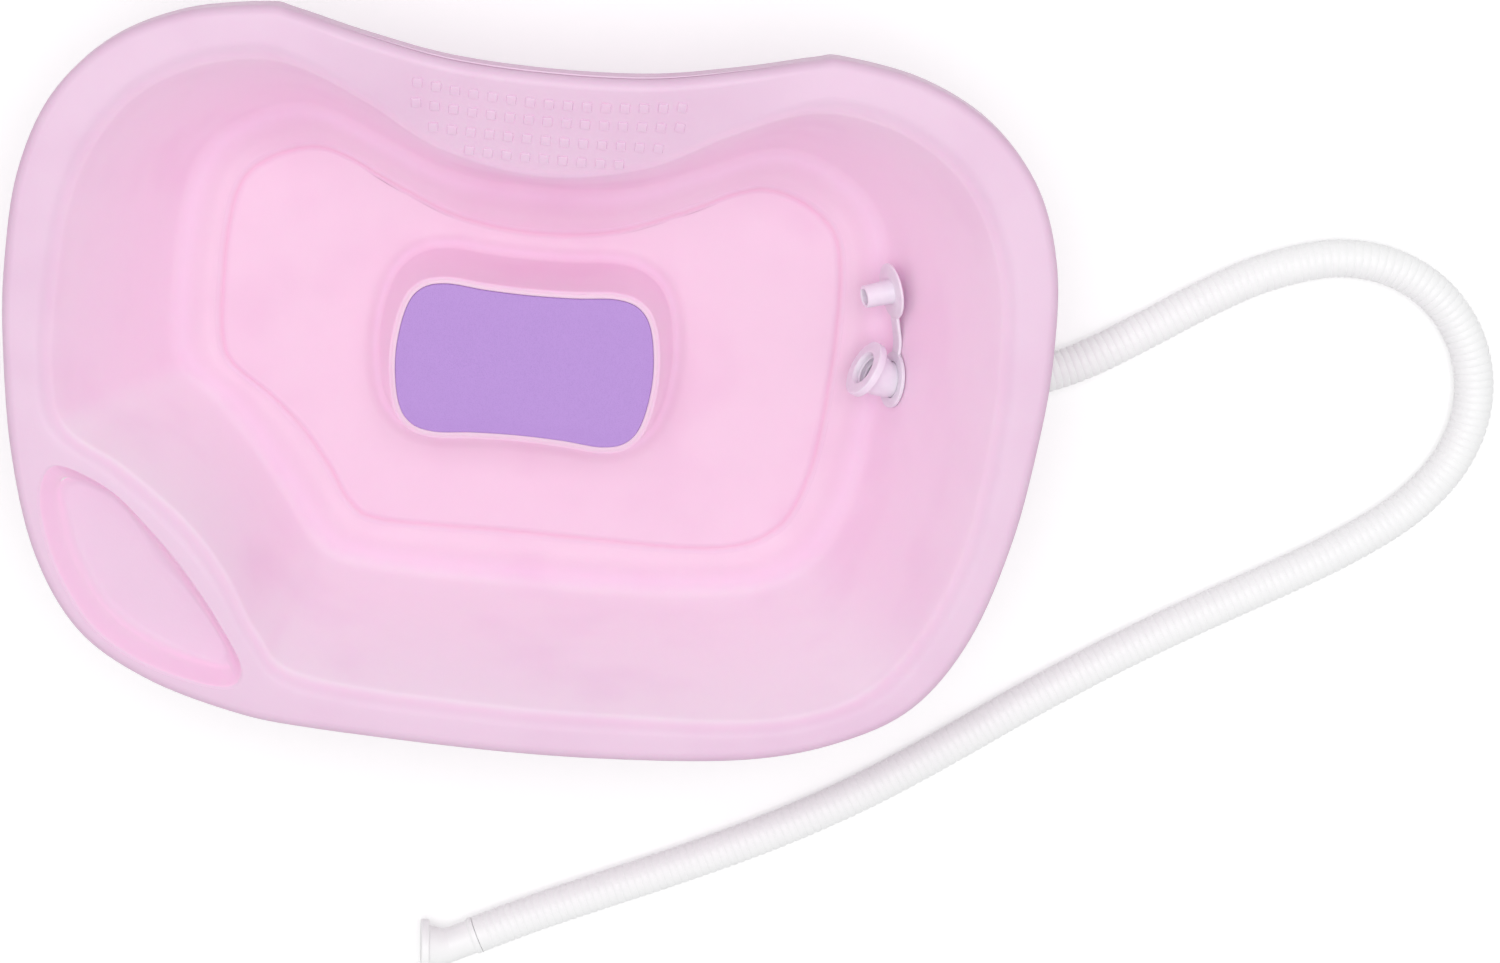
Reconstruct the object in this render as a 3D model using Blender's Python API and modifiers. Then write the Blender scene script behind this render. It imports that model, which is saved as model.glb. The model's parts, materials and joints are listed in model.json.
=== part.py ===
"""Portable shampoo basin with a neck rest, a padded head block, a corner tray and a ribbed drain hose.

Run it with: blender --background --python part.py
Metres, +Z up, +X along the basin, +Y towards the neck rest.
The origin is the middle of the basin's underside.
"""
import math

import bmesh
import bpy
from mathutils import Matrix, Vector
from mathutils.bvhtree import BVHTree

# Fits shared by every piece
CLEARANCE = 0.0003
OVERRUN = 0.004
WELD = 0.00001

# Basin shell: overall size, wall and rounding
LENGTH = 0.590
WIDTH = 0.412
HEIGHT = 0.180
WALL = 0.0025
SKIRT_HEIGHT = 0.024
SKIRT_LEAN = 0.0015
RIM_EDGE_RADIUS = 0.006
RIM_FALL = 0.0010
LIP_RADIUS = 0.012
FLOOR_FILLET = 0.028
FLOOR_STEP = 0.0008
FLOOR_STEP_RUN = 0.002
NECK_OUTER_DROP = 0.008
NECK_INNER_DROP = 0.028
LOOP_STEPS = 2
EDGE_SEGMENTS = 2
LIP_SEGMENTS = 3
FLOOR_SEGMENTS = 4

# Half of the basin seen from above, from the neck to the foot end, in shares of half the length and width:
# outer edge, inner edge of the rim, crease round the floor, and how much of the neck drops there has reached
RIGHT_SHARES = [
    ((0.000, 0.893), (0.000, 0.597), (0.000, 0.374), 1.00),
    ((0.190, 0.905), (0.193, 0.646), (0.156, 0.398), 0.88),
    ((0.356, 0.947), (0.339, 0.757), (0.298, 0.476), 0.48),
    ((0.485, 0.990), (0.458, 0.835), (0.400, 0.544), 0.12),
    ((0.542, 1.000), (0.553, 0.854), (0.468, 0.566), 0.00),
    ((0.695, 0.961), (0.671, 0.816), (0.542, 0.539), 0.00),
    ((0.831, 0.864), (0.780, 0.718), (0.603, 0.481), 0.00),
    ((0.932, 0.704), (0.851, 0.573), (0.634, 0.408), 0.00),
    ((0.986, 0.490), (0.888, 0.413), (0.647, 0.301), 0.00),
    ((1.000, 0.243), (0.902, 0.218), (0.651, 0.175), 0.00),
    ((0.993, 0.024), (0.902, 0.015), (0.649, 0.010), 0.00),
    ((0.966, -0.267), (0.881, -0.277), (0.634, -0.243), 0.00),
    ((0.908, -0.553), (0.824, -0.524), (0.597, -0.417), 0.00),
    ((0.814, -0.762), (0.736, -0.714), (0.542, -0.505), 0.00),
    ((0.678, -0.883), (0.614, -0.811), (0.468, -0.549), 0.00),
    ((0.508, -0.956), (0.468, -0.854), (0.359, -0.566), 0.00),
    ((0.271, -0.990), (0.244, -0.869), (0.197, -0.568), 0.00),
    ((0.000, -1.000), (0.000, -0.874), (0.000, -0.566), 0.00),
]

# The other half mirrors it, apart from these rows, where the bowl leaves the corner free for the tray
TRAY_SIDE_SHARES = {
    10: ((0.993, 0.024), (0.902, -0.029), (0.646, -0.019), 0.00),
    11: ((0.966, -0.267), (0.868, -0.194), (0.620, -0.117), 0.00),
    12: ((0.908, -0.553), (0.753, -0.291), (0.536, -0.204), 0.00),
    13: ((0.814, -0.762), (0.624, -0.427), (0.461, -0.301), 0.00),
    14: ((0.678, -0.883), (0.536, -0.568), (0.397, -0.413), 0.00),
    15: ((0.508, -0.956), (0.464, -0.733), (0.342, -0.524), 0.00),
    16: ((0.356, -0.983), (0.366, -0.840), (0.264, -0.566), 0.00),
}

# Corner tray: its mouth and its floor, in the same shares
TRAY_DEPTH = 0.015
TRAY_FLOOR_RADIUS = 0.003
TRAY_MOUTH_SHARES = [
    (-0.858, -0.301), (-0.766, -0.357), (-0.690, -0.450), (-0.615, -0.563),
    (-0.541, -0.697), (-0.488, -0.825), (-0.522, -0.879), (-0.658, -0.840),
    (-0.773, -0.748), (-0.854, -0.592), (-0.895, -0.427), (-0.892, -0.330),
]
TRAY_FLOOR_SHARES = [
    (-0.831, -0.350), (-0.759, -0.374), (-0.688, -0.466), (-0.617, -0.578),
    (-0.549, -0.709), (-0.515, -0.806), (-0.542, -0.835), (-0.651, -0.791),
    (-0.753, -0.704), (-0.824, -0.563), (-0.858, -0.427), (-0.861, -0.369),
]

# Head block in the middle of the floor, and the soft pad in its top
PAD_LENGTH = 0.152
PAD_WIDTH = 0.088
PAD_CENTRE_Y = 0.003
PAD_THICKNESS = 0.0040
PAD_RECESS = 0.0036
PAD_CROWN = 0.0008
PAD_EDGE = 0.0010
PAD_CROWN_RUN = 0.012
PAD_QUARTER_SHARES = [
    (0.00, 0.945), (0.35, 0.962), (0.66, 1.000), (0.85, 0.900), (0.955, 0.600), (1.00, 0.000),
]
BLOCK_HEIGHT = 0.0755
BLOCK_LIP = 0.0042
BLOCK_EDGE = 0.0015
BLOCK_DRAFT = math.radians(4.5)
BLOCK_FOOT_RADIUS = 0.006
BLOCK_FOOT_ANGLES = [math.radians(angle) for angle in (15, 45, 90)]

# Small square nubs on the neck rest: rows from the outside in
NUB_PITCH = 0.0105
NUB_SIZE = 0.0052
NUB_TOP_SHARE = 0.72
NUB_HEIGHT = 0.0010
NUB_ROOT = 0.0008
NUB_ROW_COUNT = [7, 7, 6, 4]

# Where each row of nubs lies and how far its ends bend outward, in shares of half the width
NUB_ROW_SHARES = [0.8000, 0.7519, 0.6990, 0.6471]
NUB_RISE_SHARES = [0.0252, 0.0184, 0.0078, 0.0039]

# Drain fitting in the wall
DRAIN_Y = 0.0098
DRAIN_Z = 0.0375
GROMMET_SEAT = 0.0006
GROMMET_FLANGE_RADIUS = 0.017
GROMMET_FLANGE = 0.0022
GROMMET_NECK_RADIUS = 0.0126
GROMMET_BACK_RADIUS = 0.0155
GROMMET_BACK = 0.0022
GROMMET_EDGE = 0.0006
ROUND_SIDES = 24

# Strap and stopper, laid along the wall and leaning off it a little
STRAP_WIDTH = 0.008
STRAP_THICKNESS = 0.0016
STRAP_LEAN = math.radians(16)
STOPPER_RADIUS = 0.017
STOPPER_THICKNESS = 0.0016
STOPPER_EDGE = 0.0005
STOPPER_REACH = 0.019
STOPPER_STEP = 0.0003
PLUG_LENGTH = 0.017
PLUG_ROOT_RADIUS = 0.0074
PLUG_TIP_RADIUS = 0.0068
PLUG_BORE_RADIUS = 0.0048
PLUG_FLOOR = 0.0020
EAR_OVERLAP = 0.003

# Flanged end pieces of the hose, both alike, measured back from the mouth: a short elbow, then the cuff
END_FLANGE_RADIUS = 0.0174
END_FLANGE = 0.0050
END_EDGE = 0.0008
END_CONE_RADIUS = 0.0134
END_WAIST_RADIUS = 0.0106
END_CUFF_RADIUS = 0.0116
END_BORE_RADIUS = 0.0093
END_MOUTH_RADIUS = 0.0102
END_MOUTH_DEPTH = 0.0015
END_CONE_LENGTH = 0.0130
END_WAIST_LENGTH = 0.0140
END_FLARE_LENGTH = 0.0015
END_LENGTH = 0.0370
END_BEND = math.radians(22)
END_BEND_RADIUS = 0.020
END_BEND_START = 0.003
END_STRAIGHT = 0.012
BEND_STEPS = 4

# Ribbed hose: the free route on the table after it leaves the wall, then its ribs and bore
HOSE_RADIUS = 0.0116
HOSE_VALLEY_RADIUS = 0.0105
HOSE_BORE_RADIUS = 0.0088
HOSE_RIBS = 140
BORE_POINTS = 72
TUBE_RESOLUTION = 2
PATH_STEPS = 12
HOSE_ROUTE = [
    (0.2919, 0.0110, 0.0166), (0.3232, 0.0212, 0.0122), (0.3472, 0.0336, 0.0120),
    (0.3774, 0.0531, 0.0120), (0.4073, 0.0732, 0.0120), (0.4385, 0.0911, 0.0120),
    (0.4723, 0.1033, 0.0120), (0.4991, 0.1058, 0.0120), (0.5254, 0.1004, 0.0120),
    (0.5486, 0.0868, 0.0120), (0.5662, 0.0665, 0.0120), (0.5762, 0.0416, 0.0120),
    (0.5776, 0.0147, 0.0120), (0.5703, -0.0111, 0.0120), (0.5558, -0.0339, 0.0120),
    (0.5369, -0.0530, 0.0120), (0.5080, -0.0745, 0.0120), (0.4775, -0.0936, 0.0120),
    (0.4466, -0.1120, 0.0120), (0.4157, -0.1306, 0.0120), (0.3853, -0.1499, 0.0120),
    (0.3555, -0.1700, 0.0120), (0.3261, -0.1908, 0.0120), (0.2972, -0.2122, 0.0120),
    (0.2680, -0.2334, 0.0120), (0.2383, -0.2537, 0.0120), (0.2076, -0.2725, 0.0120),
    (0.1761, -0.2899, 0.0120), (0.1439, -0.3060, 0.0120), (0.1114, -0.3214, 0.0120),
    (0.0788, -0.3362, 0.0121), (0.0462, -0.3511, 0.0126), (0.0253, -0.3610, 0.0135),
    (0.0149, -0.3661, 0.01435), (0.0045, -0.3712, 0.0152),
]

# Colours, as linear values, and how rough each surface is
PINK = (0.84, 0.58, 0.76)
PINK_ROUGHNESS = 0.42
PURPLE = (0.50, 0.30, 0.71)
PURPLE_ROUGHNESS = 0.55
MILKY = (0.86, 0.82, 0.88)
MILKY_ROUGHNESS = 0.35
WHITE = (0.90, 0.90, 0.90)
WHITE_ROUGHNESS = 0.45


def new_collection(name):
    """Make a collection in the scene."""
    collection = bpy.data.collections.new(name)
    bpy.context.scene.collection.children.link(collection)
    return collection


def material(name, colour, roughness):
    """Make a plain plastic."""
    plastic = bpy.data.materials.new(name)
    plastic.use_nodes = True
    shader = plastic.node_tree.nodes["Principled BSDF"]
    shader.inputs["Base Color"].default_value = (*colour, 1)
    shader.inputs["Roughness"].default_value = roughness
    shader.inputs["Metallic"].default_value = 0
    return plastic


def new_object(name, mesh, collection, plastic=None):
    """Put a mesh in the scene as an object."""
    obj = bpy.data.objects.new(name, mesh)
    collection.objects.link(obj)
    if plastic:
        mesh.materials.append(plastic)
    return obj


def as_cutter(obj):
    """Mark an object as a tool for cutting or joining, not a piece."""
    obj.hide_render = True
    obj.display_type = "WIRE"
    return obj


def boolean(obj, tool, operation):
    """Cut or join a tool with an exact Boolean modifier."""
    modifier = obj.modifiers.new(f"{operation.lower()}_{tool.name}", "BOOLEAN")
    modifier.operation = operation
    modifier.object = tool
    modifier.solver = "EXACT"


def catmull_rom(before, start, end, after, share):
    """Point at a share of the way from start to end on a smooth curve."""
    square = share * share
    cube = square * share
    return (
        start * 2
        + (end - before) * share
        + (before * 2 - start * 5 + end * 4 - after) * square
        + (start * 3 - before - end * 3 + after) * cube
    ) / 2


def smooth_loop(points, steps):
    """Closed smooth curve through points."""
    count = len(points)
    return [
        catmull_rom(points[i - 1], points[i], points[(i + 1) % count], points[(i + 2) % count], step / steps)
        for i in range(count)
        for step in range(steps)
    ]


def smooth_path(points, steps):
    """Open smooth curve through points."""
    first = points[0] * 2 - points[1]
    last = points[-1] * 2 - points[-2]
    padded = [first, *points, last]
    path = [
        catmull_rom(*padded[i - 1:i + 3], step / steps)
        for i in range(1, len(points))
        for step in range(steps)
    ]
    return [*path, points[-1]]


def path_length(path):
    """Length along a list of points."""
    return sum((path[i + 1] - path[i]).length for i in range(len(path) - 1))


def along(path, distances):
    """Points at rising distances along a path."""
    found = []
    travelled = 0
    leg = 0
    for distance in distances:
        while leg < len(path) - 2 and travelled + (path[leg + 1] - path[leg]).length < distance:
            travelled += (path[leg + 1] - path[leg]).length
            leg += 1
        span = (path[leg + 1] - path[leg]).length
        found.append(path[leg].lerp(path[leg + 1], (distance - travelled) / span))
    return found


def fillet(before, corner, after, radius, segments):
    """Arc that rounds a corner between two straight lines."""
    back = (before - corner).normalized()
    ahead = (after - corner).normalized()
    half_angle = back.angle(ahead) / 2
    centre = corner + (back + ahead).normalized() * radius / math.sin(half_angle)
    tangent = radius / math.tan(half_angle)
    start = corner + back * tangent - centre
    end = corner + ahead * tangent - centre
    return [centre + start.slerp(end, i / segments) * radius for i in range(segments + 1)]


def grow(loop, distance):
    """Loop moved outward by a distance, square to itself."""
    count = len(loop)
    area = sum(loop[i - 1].x * loop[i].y - loop[i].x * loop[i - 1].y for i in range(count))
    turn = 1 if area > 0 else -1
    grown = []
    for i, point in enumerate(loop):
        tangent = loop[(i + 1) % count] - loop[i - 1]
        outward = Vector((tangent.y, -tangent.x, 0)).normalized() * turn
        grown.append(point + outward * distance)
    return grown


def at_height(loop, height):
    """Loop laid level at a height."""
    return [Vector((point.x, point.y, height)) for point in loop]


def loft(name, rings, collection, plastic=None, start_cap=True, joined=False):
    """Skin rings of equally many points, capped at the end, and at the start unless told not to."""
    model = bmesh.new()
    skin = [[model.verts.new(point) for point in ring] for ring in rings]
    pairs = list(zip(skin, skin[1:]))
    if joined:
        pairs.append((skin[-1], skin[0]))
    for ring, following in pairs:
        for i in range(len(ring)):
            model.faces.new((ring[i - 1], ring[i], following[i], following[i - 1]))
    if not joined:
        model.faces.new(skin[-1])
        if start_cap:
            model.faces.new(skin[0])
    bmesh.ops.recalc_face_normals(model, faces=model.faces)
    mesh = bpy.data.meshes.new(name)
    model.to_mesh(mesh)
    model.free()
    return new_object(name, mesh, collection, plastic)


def box(name, low, high, collection, plastic=None):
    """Box between two corners."""
    model = bmesh.new()
    size = high - low
    place = Matrix.Translation((low + high) / 2) @ Matrix.Diagonal((*size, 1))
    bmesh.ops.create_cube(model, size=1, matrix=place)
    mesh = bpy.data.meshes.new(name)
    model.to_mesh(mesh)
    model.free()
    return new_object(name, mesh, collection, plastic)


def turned(name, profile, place, collection, plastic=None, closed=False):
    """Profile of radius and height turned about Z."""
    model = bmesh.new()
    points = [model.verts.new((radius, 0, height)) for radius, height in profile]
    for start, end in zip(points, points[1:]):
        model.edges.new((start, end))
    if closed:
        model.edges.new((points[-1], points[0]))
    mesh = bpy.data.meshes.new(name)
    model.to_mesh(mesh)
    model.free()
    obj = new_object(name, mesh, collection, plastic)
    obj.matrix_world = place
    screw = obj.modifiers.new("turn", "SCREW")
    screw.steps = ROUND_SIDES
    screw.render_steps = ROUND_SIDES
    screw.use_merge_vertices = True
    screw.merge_threshold = WELD
    return obj


def on_plan(share_pair):
    """Point on the ground from shares of half the length and half the width."""
    return Vector((share_pair[0] * LENGTH / 2, share_pair[1] * WIDTH / 2, 0))


def plan_rows():
    """Rows round the basin: outer edge, rim's inner edge and floor crease, each at its height."""
    last = len(RIGHT_SHARES) - 1
    rows = [(1, row) for row in RIGHT_SHARES]
    rows += [(-1, TRAY_SIDE_SHARES.get(i, RIGHT_SHARES[i])) for i in range(last - 1, 0, -1)]
    placed = []
    for side, (outer, inner, crease, drop) in rows:
        points = [on_plan((side * pair[0], pair[1])) for pair in (outer, inner, crease)]
        points[0].z = HEIGHT - NECK_OUTER_DROP * drop
        points[1].z = HEIGHT - RIM_FALL - NECK_INNER_DROP * drop
        points[2].z = WALL + FLOOR_STEP
        placed.append(points)
    return placed


def wall_foot(rim, crease):
    """Where the straight wall would meet the floor, so that the floor's fillet ends on the crease."""
    outward = Vector((rim.x - crease.x, rim.y - crease.y, 0))
    rise = rim.z - crease.z - FLOOR_FILLET
    reach = math.hypot(outward.length, rise)
    touch = math.atan2(rise, outward.length) - math.acos(FLOOR_FILLET / reach)
    return crease + outward.normalized() * FLOOR_FILLET * math.tan((touch + math.pi / 2) / 2)


def basin_rings():
    """Rings of the basin's upper surface, from the skirt's foot to the floor."""
    rows = plan_rows()
    columns = [smooth_loop([row[i] for row in rows], LOOP_STEPS) for i in range(3)]
    sections = []
    for outer, rim, crease in zip(*columns):
        inward = Vector((rim.x - outer.x, rim.y - outer.y, 0)).normalized()
        floor_inward = Vector((crease.x - rim.x, crease.y - rim.y, 0)).normalized()
        foot = Vector((outer.x, outer.y, HEIGHT - SKIRT_HEIGHT))
        edge = outer + inward * SKIRT_LEAN
        base = wall_foot(rim, crease)
        step = crease + floor_inward * FLOOR_STEP_RUN
        step.z = WALL
        sections.append([
            foot,
            *fillet(foot, edge, rim, RIM_EDGE_RADIUS, EDGE_SEGMENTS),
            *fillet(edge, rim, base, LIP_RADIUS, LIP_SEGMENTS),
            *fillet(rim, base, crease, FLOOR_FILLET, FLOOR_SEGMENTS),
            step,
        ])
    return [list(ring) for ring in zip(*sections)]


def wall_frame(rings):
    """Frame of the drain on the inside of the right wall: along the wall, up it, into the bowl."""
    lip_end = 1 + EDGE_SEGMENTS + 1 + LIP_SEGMENTS
    top = rings[lip_end]
    bottom = rings[lip_end + 1]
    level = [
        high.lerp(low, (high.z - DRAIN_Z) / (high.z - low.z))
        for high, low in zip(top, bottom)
    ]
    for i, (start, end) in enumerate(zip(level, level[1:])):
        if start.x > 0 and start.y >= DRAIN_Y > end.y:
            share = (start.y - DRAIN_Y) / (start.y - end.y)
            centre = start.lerp(end, share)
            along_wall = (start - end).normalized()
            up_wall = (top[i].lerp(top[i + 1], share) - bottom[i].lerp(bottom[i + 1], share)).normalized()
            inward = along_wall.cross(up_wall)
            if inward.x > 0:
                inward = -inward
            across = inward.cross(along_wall)
            frame = Matrix((along_wall, across, inward)).transposed().to_4x4()
            return Matrix.Translation(centre) @ frame
    raise ValueError("the drain is not on the right wall")


def tray_solids(cutters):
    """Body under the rim that carries the tray, and the pocket cut into it."""
    mouth = smooth_loop([on_plan(pair) for pair in TRAY_MOUTH_SHARES], LOOP_STEPS)
    floor = smooth_loop([on_plan(pair) for pair in TRAY_FLOOR_SHARES], LOOP_STEPS)
    bottom = HEIGHT - TRAY_DEPTH
    bury = (WALL + RIM_FALL) / 2
    body = loft("tray_body", [
        at_height(grow(mouth, WALL), HEIGHT - bury),
        at_height(grow(floor, WALL), bottom + TRAY_FLOOR_RADIUS),
        at_height(grow(floor, WALL - TRAY_FLOOR_RADIUS), bottom - WALL),
    ], cutters)
    pocket = loft("tray_pocket", [
        at_height(mouth, HEIGHT + OVERRUN),
        at_height(mouth, HEIGHT - bury),
        at_height(floor, bottom + TRAY_FLOOR_RADIUS),
        at_height(grow(floor, -TRAY_FLOOR_RADIUS), bottom),
    ], cutters)
    return as_cutter(body), as_cutter(pocket)


def pad_outline():
    """Outline of the pad from above: a rounded oblong with drawn-in long sides."""
    right = PAD_QUARTER_SHARES + [(x, -y) for x, y in reversed(PAD_QUARTER_SHARES[:-1])]
    left = [(-x, y) for x, y in reversed(right[1:-1])]
    points = [
        Vector((x * PAD_LENGTH / 2, y * PAD_WIDTH / 2 + PAD_CENTRE_Y, 0))
        for x, y in right + left
    ]
    return smooth_loop(points, LOOP_STEPS)


def head_block_solids(cutters):
    """Head block that stands on the floor, the hollow under it and the recess in its top."""
    pad = pad_outline()
    top_z = BLOCK_HEIGHT
    recess_z = top_z - PAD_RECESS
    top = grow(pad, CLEARANCE + BLOCK_LIP)
    spread = (top_z - WALL) * math.tan(BLOCK_DRAFT)
    foot = grow(top, spread)
    foot_rings = [
        at_height(
            grow(foot, BLOCK_FOOT_RADIUS * (1 - math.sin(angle))),
            WALL + BLOCK_FOOT_RADIUS * (1 - math.cos(angle)),
        )
        for angle in BLOCK_FOOT_ANGLES
    ]
    buried = [Vector((point.x, point.y, WALL / 2)) for point in foot_rings[0]]
    block = loft("head_block", [
        buried,
        *foot_rings,
        at_height(top, top_z - BLOCK_EDGE),
        at_height(grow(top, -BLOCK_EDGE), top_z),
    ], cutters)
    hollow = loft("head_block_hollow", [
        at_height(grow(foot, -WALL), -OVERRUN),
        at_height(grow(foot, -WALL), WALL),
        at_height(grow(top, -WALL), recess_z - WALL),
    ], cutters)
    recess = loft("pad_recess", [
        at_height(grow(pad, CLEARANCE), recess_z),
        at_height(grow(pad, CLEARANCE), top_z + OVERRUN),
    ], cutters)
    return as_cutter(block), as_cutter(hollow), as_cutter(recess)


def neck_nubs(rings, cutters):
    """Rows of small square nubs on the neck rest, sunk a little into it."""
    count = len(rings[0])
    points = [point for ring in rings for point in ring]
    faces = [
        (r * count + i, r * count + (i + 1) % count, (r + 1) * count + (i + 1) % count, (r + 1) * count + i)
        for r in range(len(rings) - 1)
        for i in range(count)
    ]
    surface = BVHTree.FromPolygons(points, faces)
    down = Vector((0, 0, -1))
    model = bmesh.new()
    for row_share, rise_share, reach in zip(NUB_ROW_SHARES, NUB_RISE_SHARES, NUB_ROW_COUNT):
        for column in range(-reach, reach + 1):
            share = column / reach
            row_y = on_plan((0, row_share + rise_share * share * share)).y
            above = Vector((column * NUB_PITCH, row_y, HEIGHT + OVERRUN))
            place, normal, _, _ = surface.ray_cast(above, down)
            if normal.z < 0:
                normal = -normal
            turn = normal.to_track_quat("Z", "Y").to_matrix().to_4x4()
            lift = Matrix.Translation((0, 0, (NUB_HEIGHT - NUB_ROOT) / 2))
            quarter = Matrix.Rotation(math.pi / 4, 4, "Z")
            half_diagonal = NUB_SIZE / math.sqrt(2)
            bmesh.ops.create_cone(
                model,
                cap_ends=True,
                segments=4,
                radius1=half_diagonal,
                radius2=half_diagonal * NUB_TOP_SHARE,
                depth=NUB_HEIGHT + NUB_ROOT,
                matrix=Matrix.Translation(place) @ turn @ lift @ quarter,
            )
    mesh = bpy.data.meshes.new("neck_nubs")
    model.to_mesh(mesh)
    model.free()
    return as_cutter(new_object("neck_nubs", mesh, cutters))


def make_shell(rings, drain, parts, cutters, plastic):
    """Basin shell: the lofted surface with its wall, then what is moulded on and cut out."""
    shell = loft("basin_shell", rings, parts, plastic, start_cap=False)
    if shell.data.polygons[-1].normal.z < 0:
        shell.data.flip_normals()
    wall = shell.modifiers.new("wall", "SOLIDIFY")
    wall.thickness = WALL
    wall.offset = -1
    wall.use_even_offset = True
    tray_body, tray_pocket = tray_solids(cutters)
    block, hollow, recess = head_block_solids(cutters)
    reach = WALL + OVERRUN
    hole_radius = GROMMET_NECK_RADIUS + CLEARANCE
    hole = as_cutter(turned(
        "drain_hole",
        [(0, reach), (hole_radius, reach), (hole_radius, -reach), (0, -reach)],
        drain,
        cutters,
    ))
    for tool in (tray_body, block, neck_nubs(rings, cutters)):
        boolean(shell, tool, "UNION")
    for tool in (tray_pocket, hollow, recess, hole):
        boolean(shell, tool, "DIFFERENCE")
    return shell


def make_pad(parts, plastic):
    """Soft pad in the head block: a low crown with drawn-in sides."""
    outline = pad_outline()
    bottom = BLOCK_HEIGHT - PAD_RECESS + CLEARANCE
    top = bottom + PAD_THICKNESS
    return loft("headrest_pad", [
        at_height(grow(outline, -PAD_EDGE), bottom),
        at_height(outline, bottom + PAD_EDGE),
        at_height(outline, top - PAD_EDGE),
        at_height(grow(outline, -PAD_EDGE), top),
        at_height(grow(outline, -PAD_CROWN_RUN), top + PAD_CROWN),
    ], parts, plastic)


def strap_face():
    """Height of the strap's inner face above the wall, where both its bends are."""
    return GROMMET_SEAT + GROMMET_FLANGE - STOPPER_STEP


def end_axis(distance):
    """Centre and direction of a bent end piece, back from its mouth, in the drain's frame."""
    arc = END_BEND_RADIUS * END_BEND
    if distance < END_STRAIGHT:
        angle = END_BEND
        ahead = END_STRAIGHT - distance
    else:
        angle = max(0, END_BEND - (distance - END_STRAIGHT) / END_BEND_RADIUS)
        ahead = 0
    below = max(0, distance - END_STRAIGHT - arc)
    centre = Vector((
        END_BEND_RADIUS * (1 - math.cos(angle)) + ahead * math.sin(angle),
        0,
        END_BEND_START + END_BEND_RADIUS * math.sin(angle) + ahead * math.cos(angle) - below,
    ))
    return centre, Vector((math.sin(angle), 0, math.cos(angle)))


def end_profile():
    """Outer and inner stations of a hose end, as distance behind the mouth and radius."""
    arc = END_BEND_RADIUS * END_BEND
    bend_at = [END_STRAIGHT + arc * i / BEND_STEPS for i in range(BEND_STEPS + 1)]
    cone_start = END_FLANGE + END_EDGE
    cone_end = cone_start + END_CONE_LENGTH
    waist_end = cone_end + END_WAIST_LENGTH
    outside = [
        (0, END_FLANGE_RADIUS - END_EDGE),
        (END_EDGE, END_FLANGE_RADIUS),
        (END_FLANGE, END_FLANGE_RADIUS),
        (cone_start, END_CONE_RADIUS),
        *[
            (distance, END_CONE_RADIUS + (END_WAIST_RADIUS - END_CONE_RADIUS)
             * (distance - cone_start) / END_CONE_LENGTH)
            for distance in bend_at
            if distance < cone_end
        ],
        (cone_end, END_WAIST_RADIUS),
        *[(distance, END_WAIST_RADIUS) for distance in bend_at if distance > cone_end],
        (waist_end, END_WAIST_RADIUS),
        (waist_end + END_FLARE_LENGTH, END_CUFF_RADIUS),
        (END_LENGTH, END_CUFF_RADIUS),
    ]
    inside = [
        (END_LENGTH, END_BORE_RADIUS),
        *[(distance, END_BORE_RADIUS) for distance in reversed(bend_at)],
        (END_MOUTH_DEPTH, END_BORE_RADIUS),
        (0, END_MOUTH_RADIUS),
    ]
    return outside + inside


def make_hose_end(name, place, parts, plastic):
    """Flanged sleeve on an end of the hose: rings along its axis, outside and then back through the bore."""
    rings = []
    for distance, radius in end_profile():
        centre, direction = end_axis(distance)
        side = Vector((0, 1, 0))
        across = side.cross(direction)
        rings.append([
            centre + (across * math.cos(angle) + side * math.sin(angle)) * radius
            for angle in (2 * math.pi * i / ROUND_SIDES for i in range(ROUND_SIDES))
        ])
    sleeve = loft(name, rings, parts, plastic, joined=True)
    sleeve.matrix_world = place
    return sleeve


def make_grommet(drain, hinge_u, parts, cutters, plastic):
    """Soft ring with a flange on each side of the wall, and the ear where the strap starts."""
    front = GROMMET_SEAT + GROMMET_FLANGE
    behind = -WALL - CLEARANCE
    bore = END_WAIST_RADIUS + CLEARANCE
    grommet = turned("drain_grommet", [
        (bore, front),
        (GROMMET_FLANGE_RADIUS - GROMMET_EDGE, front),
        (GROMMET_FLANGE_RADIUS, front - GROMMET_EDGE),
        (GROMMET_FLANGE_RADIUS, GROMMET_SEAT),
        (GROMMET_NECK_RADIUS, GROMMET_SEAT),
        (GROMMET_NECK_RADIUS, behind),
        (GROMMET_BACK_RADIUS, behind),
        (GROMMET_BACK_RADIUS, behind - GROMMET_BACK),
        (bore, behind - GROMMET_BACK),
    ], drain, parts, plastic, closed=True)
    face = strap_face()
    ear = box(
        "grommet_ear",
        Vector((GROMMET_FLANGE_RADIUS - EAR_OVERLAP, -STRAP_WIDTH / 2, face - STRAP_THICKNESS)),
        Vector((hinge_u - CLEARANCE / 2, STRAP_WIDTH / 2, face)),
        cutters,
    )
    ear.matrix_world = drain
    boolean(grommet, as_cutter(ear), "UNION")
    return grommet


def strap_layout():
    """Distance from the drain's axis to the first bend, and from there to the second.

    When both bends have turned alike, the stopper's face lies on the mouth of the tilted inlet.
    """
    mouth, tilt = end_axis(0)
    target = mouth + tilt * CLEARANCE
    closed = math.pi - END_BEND
    link_angle = (closed + STRAP_LEAN) / 2
    rise = target.z - strap_face() - STOPPER_REACH * math.sin(closed)
    link = rise / math.sin(link_angle)
    first = target.x - link * math.cos(link_angle) - STOPPER_REACH * math.cos(closed)
    return first, link


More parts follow.
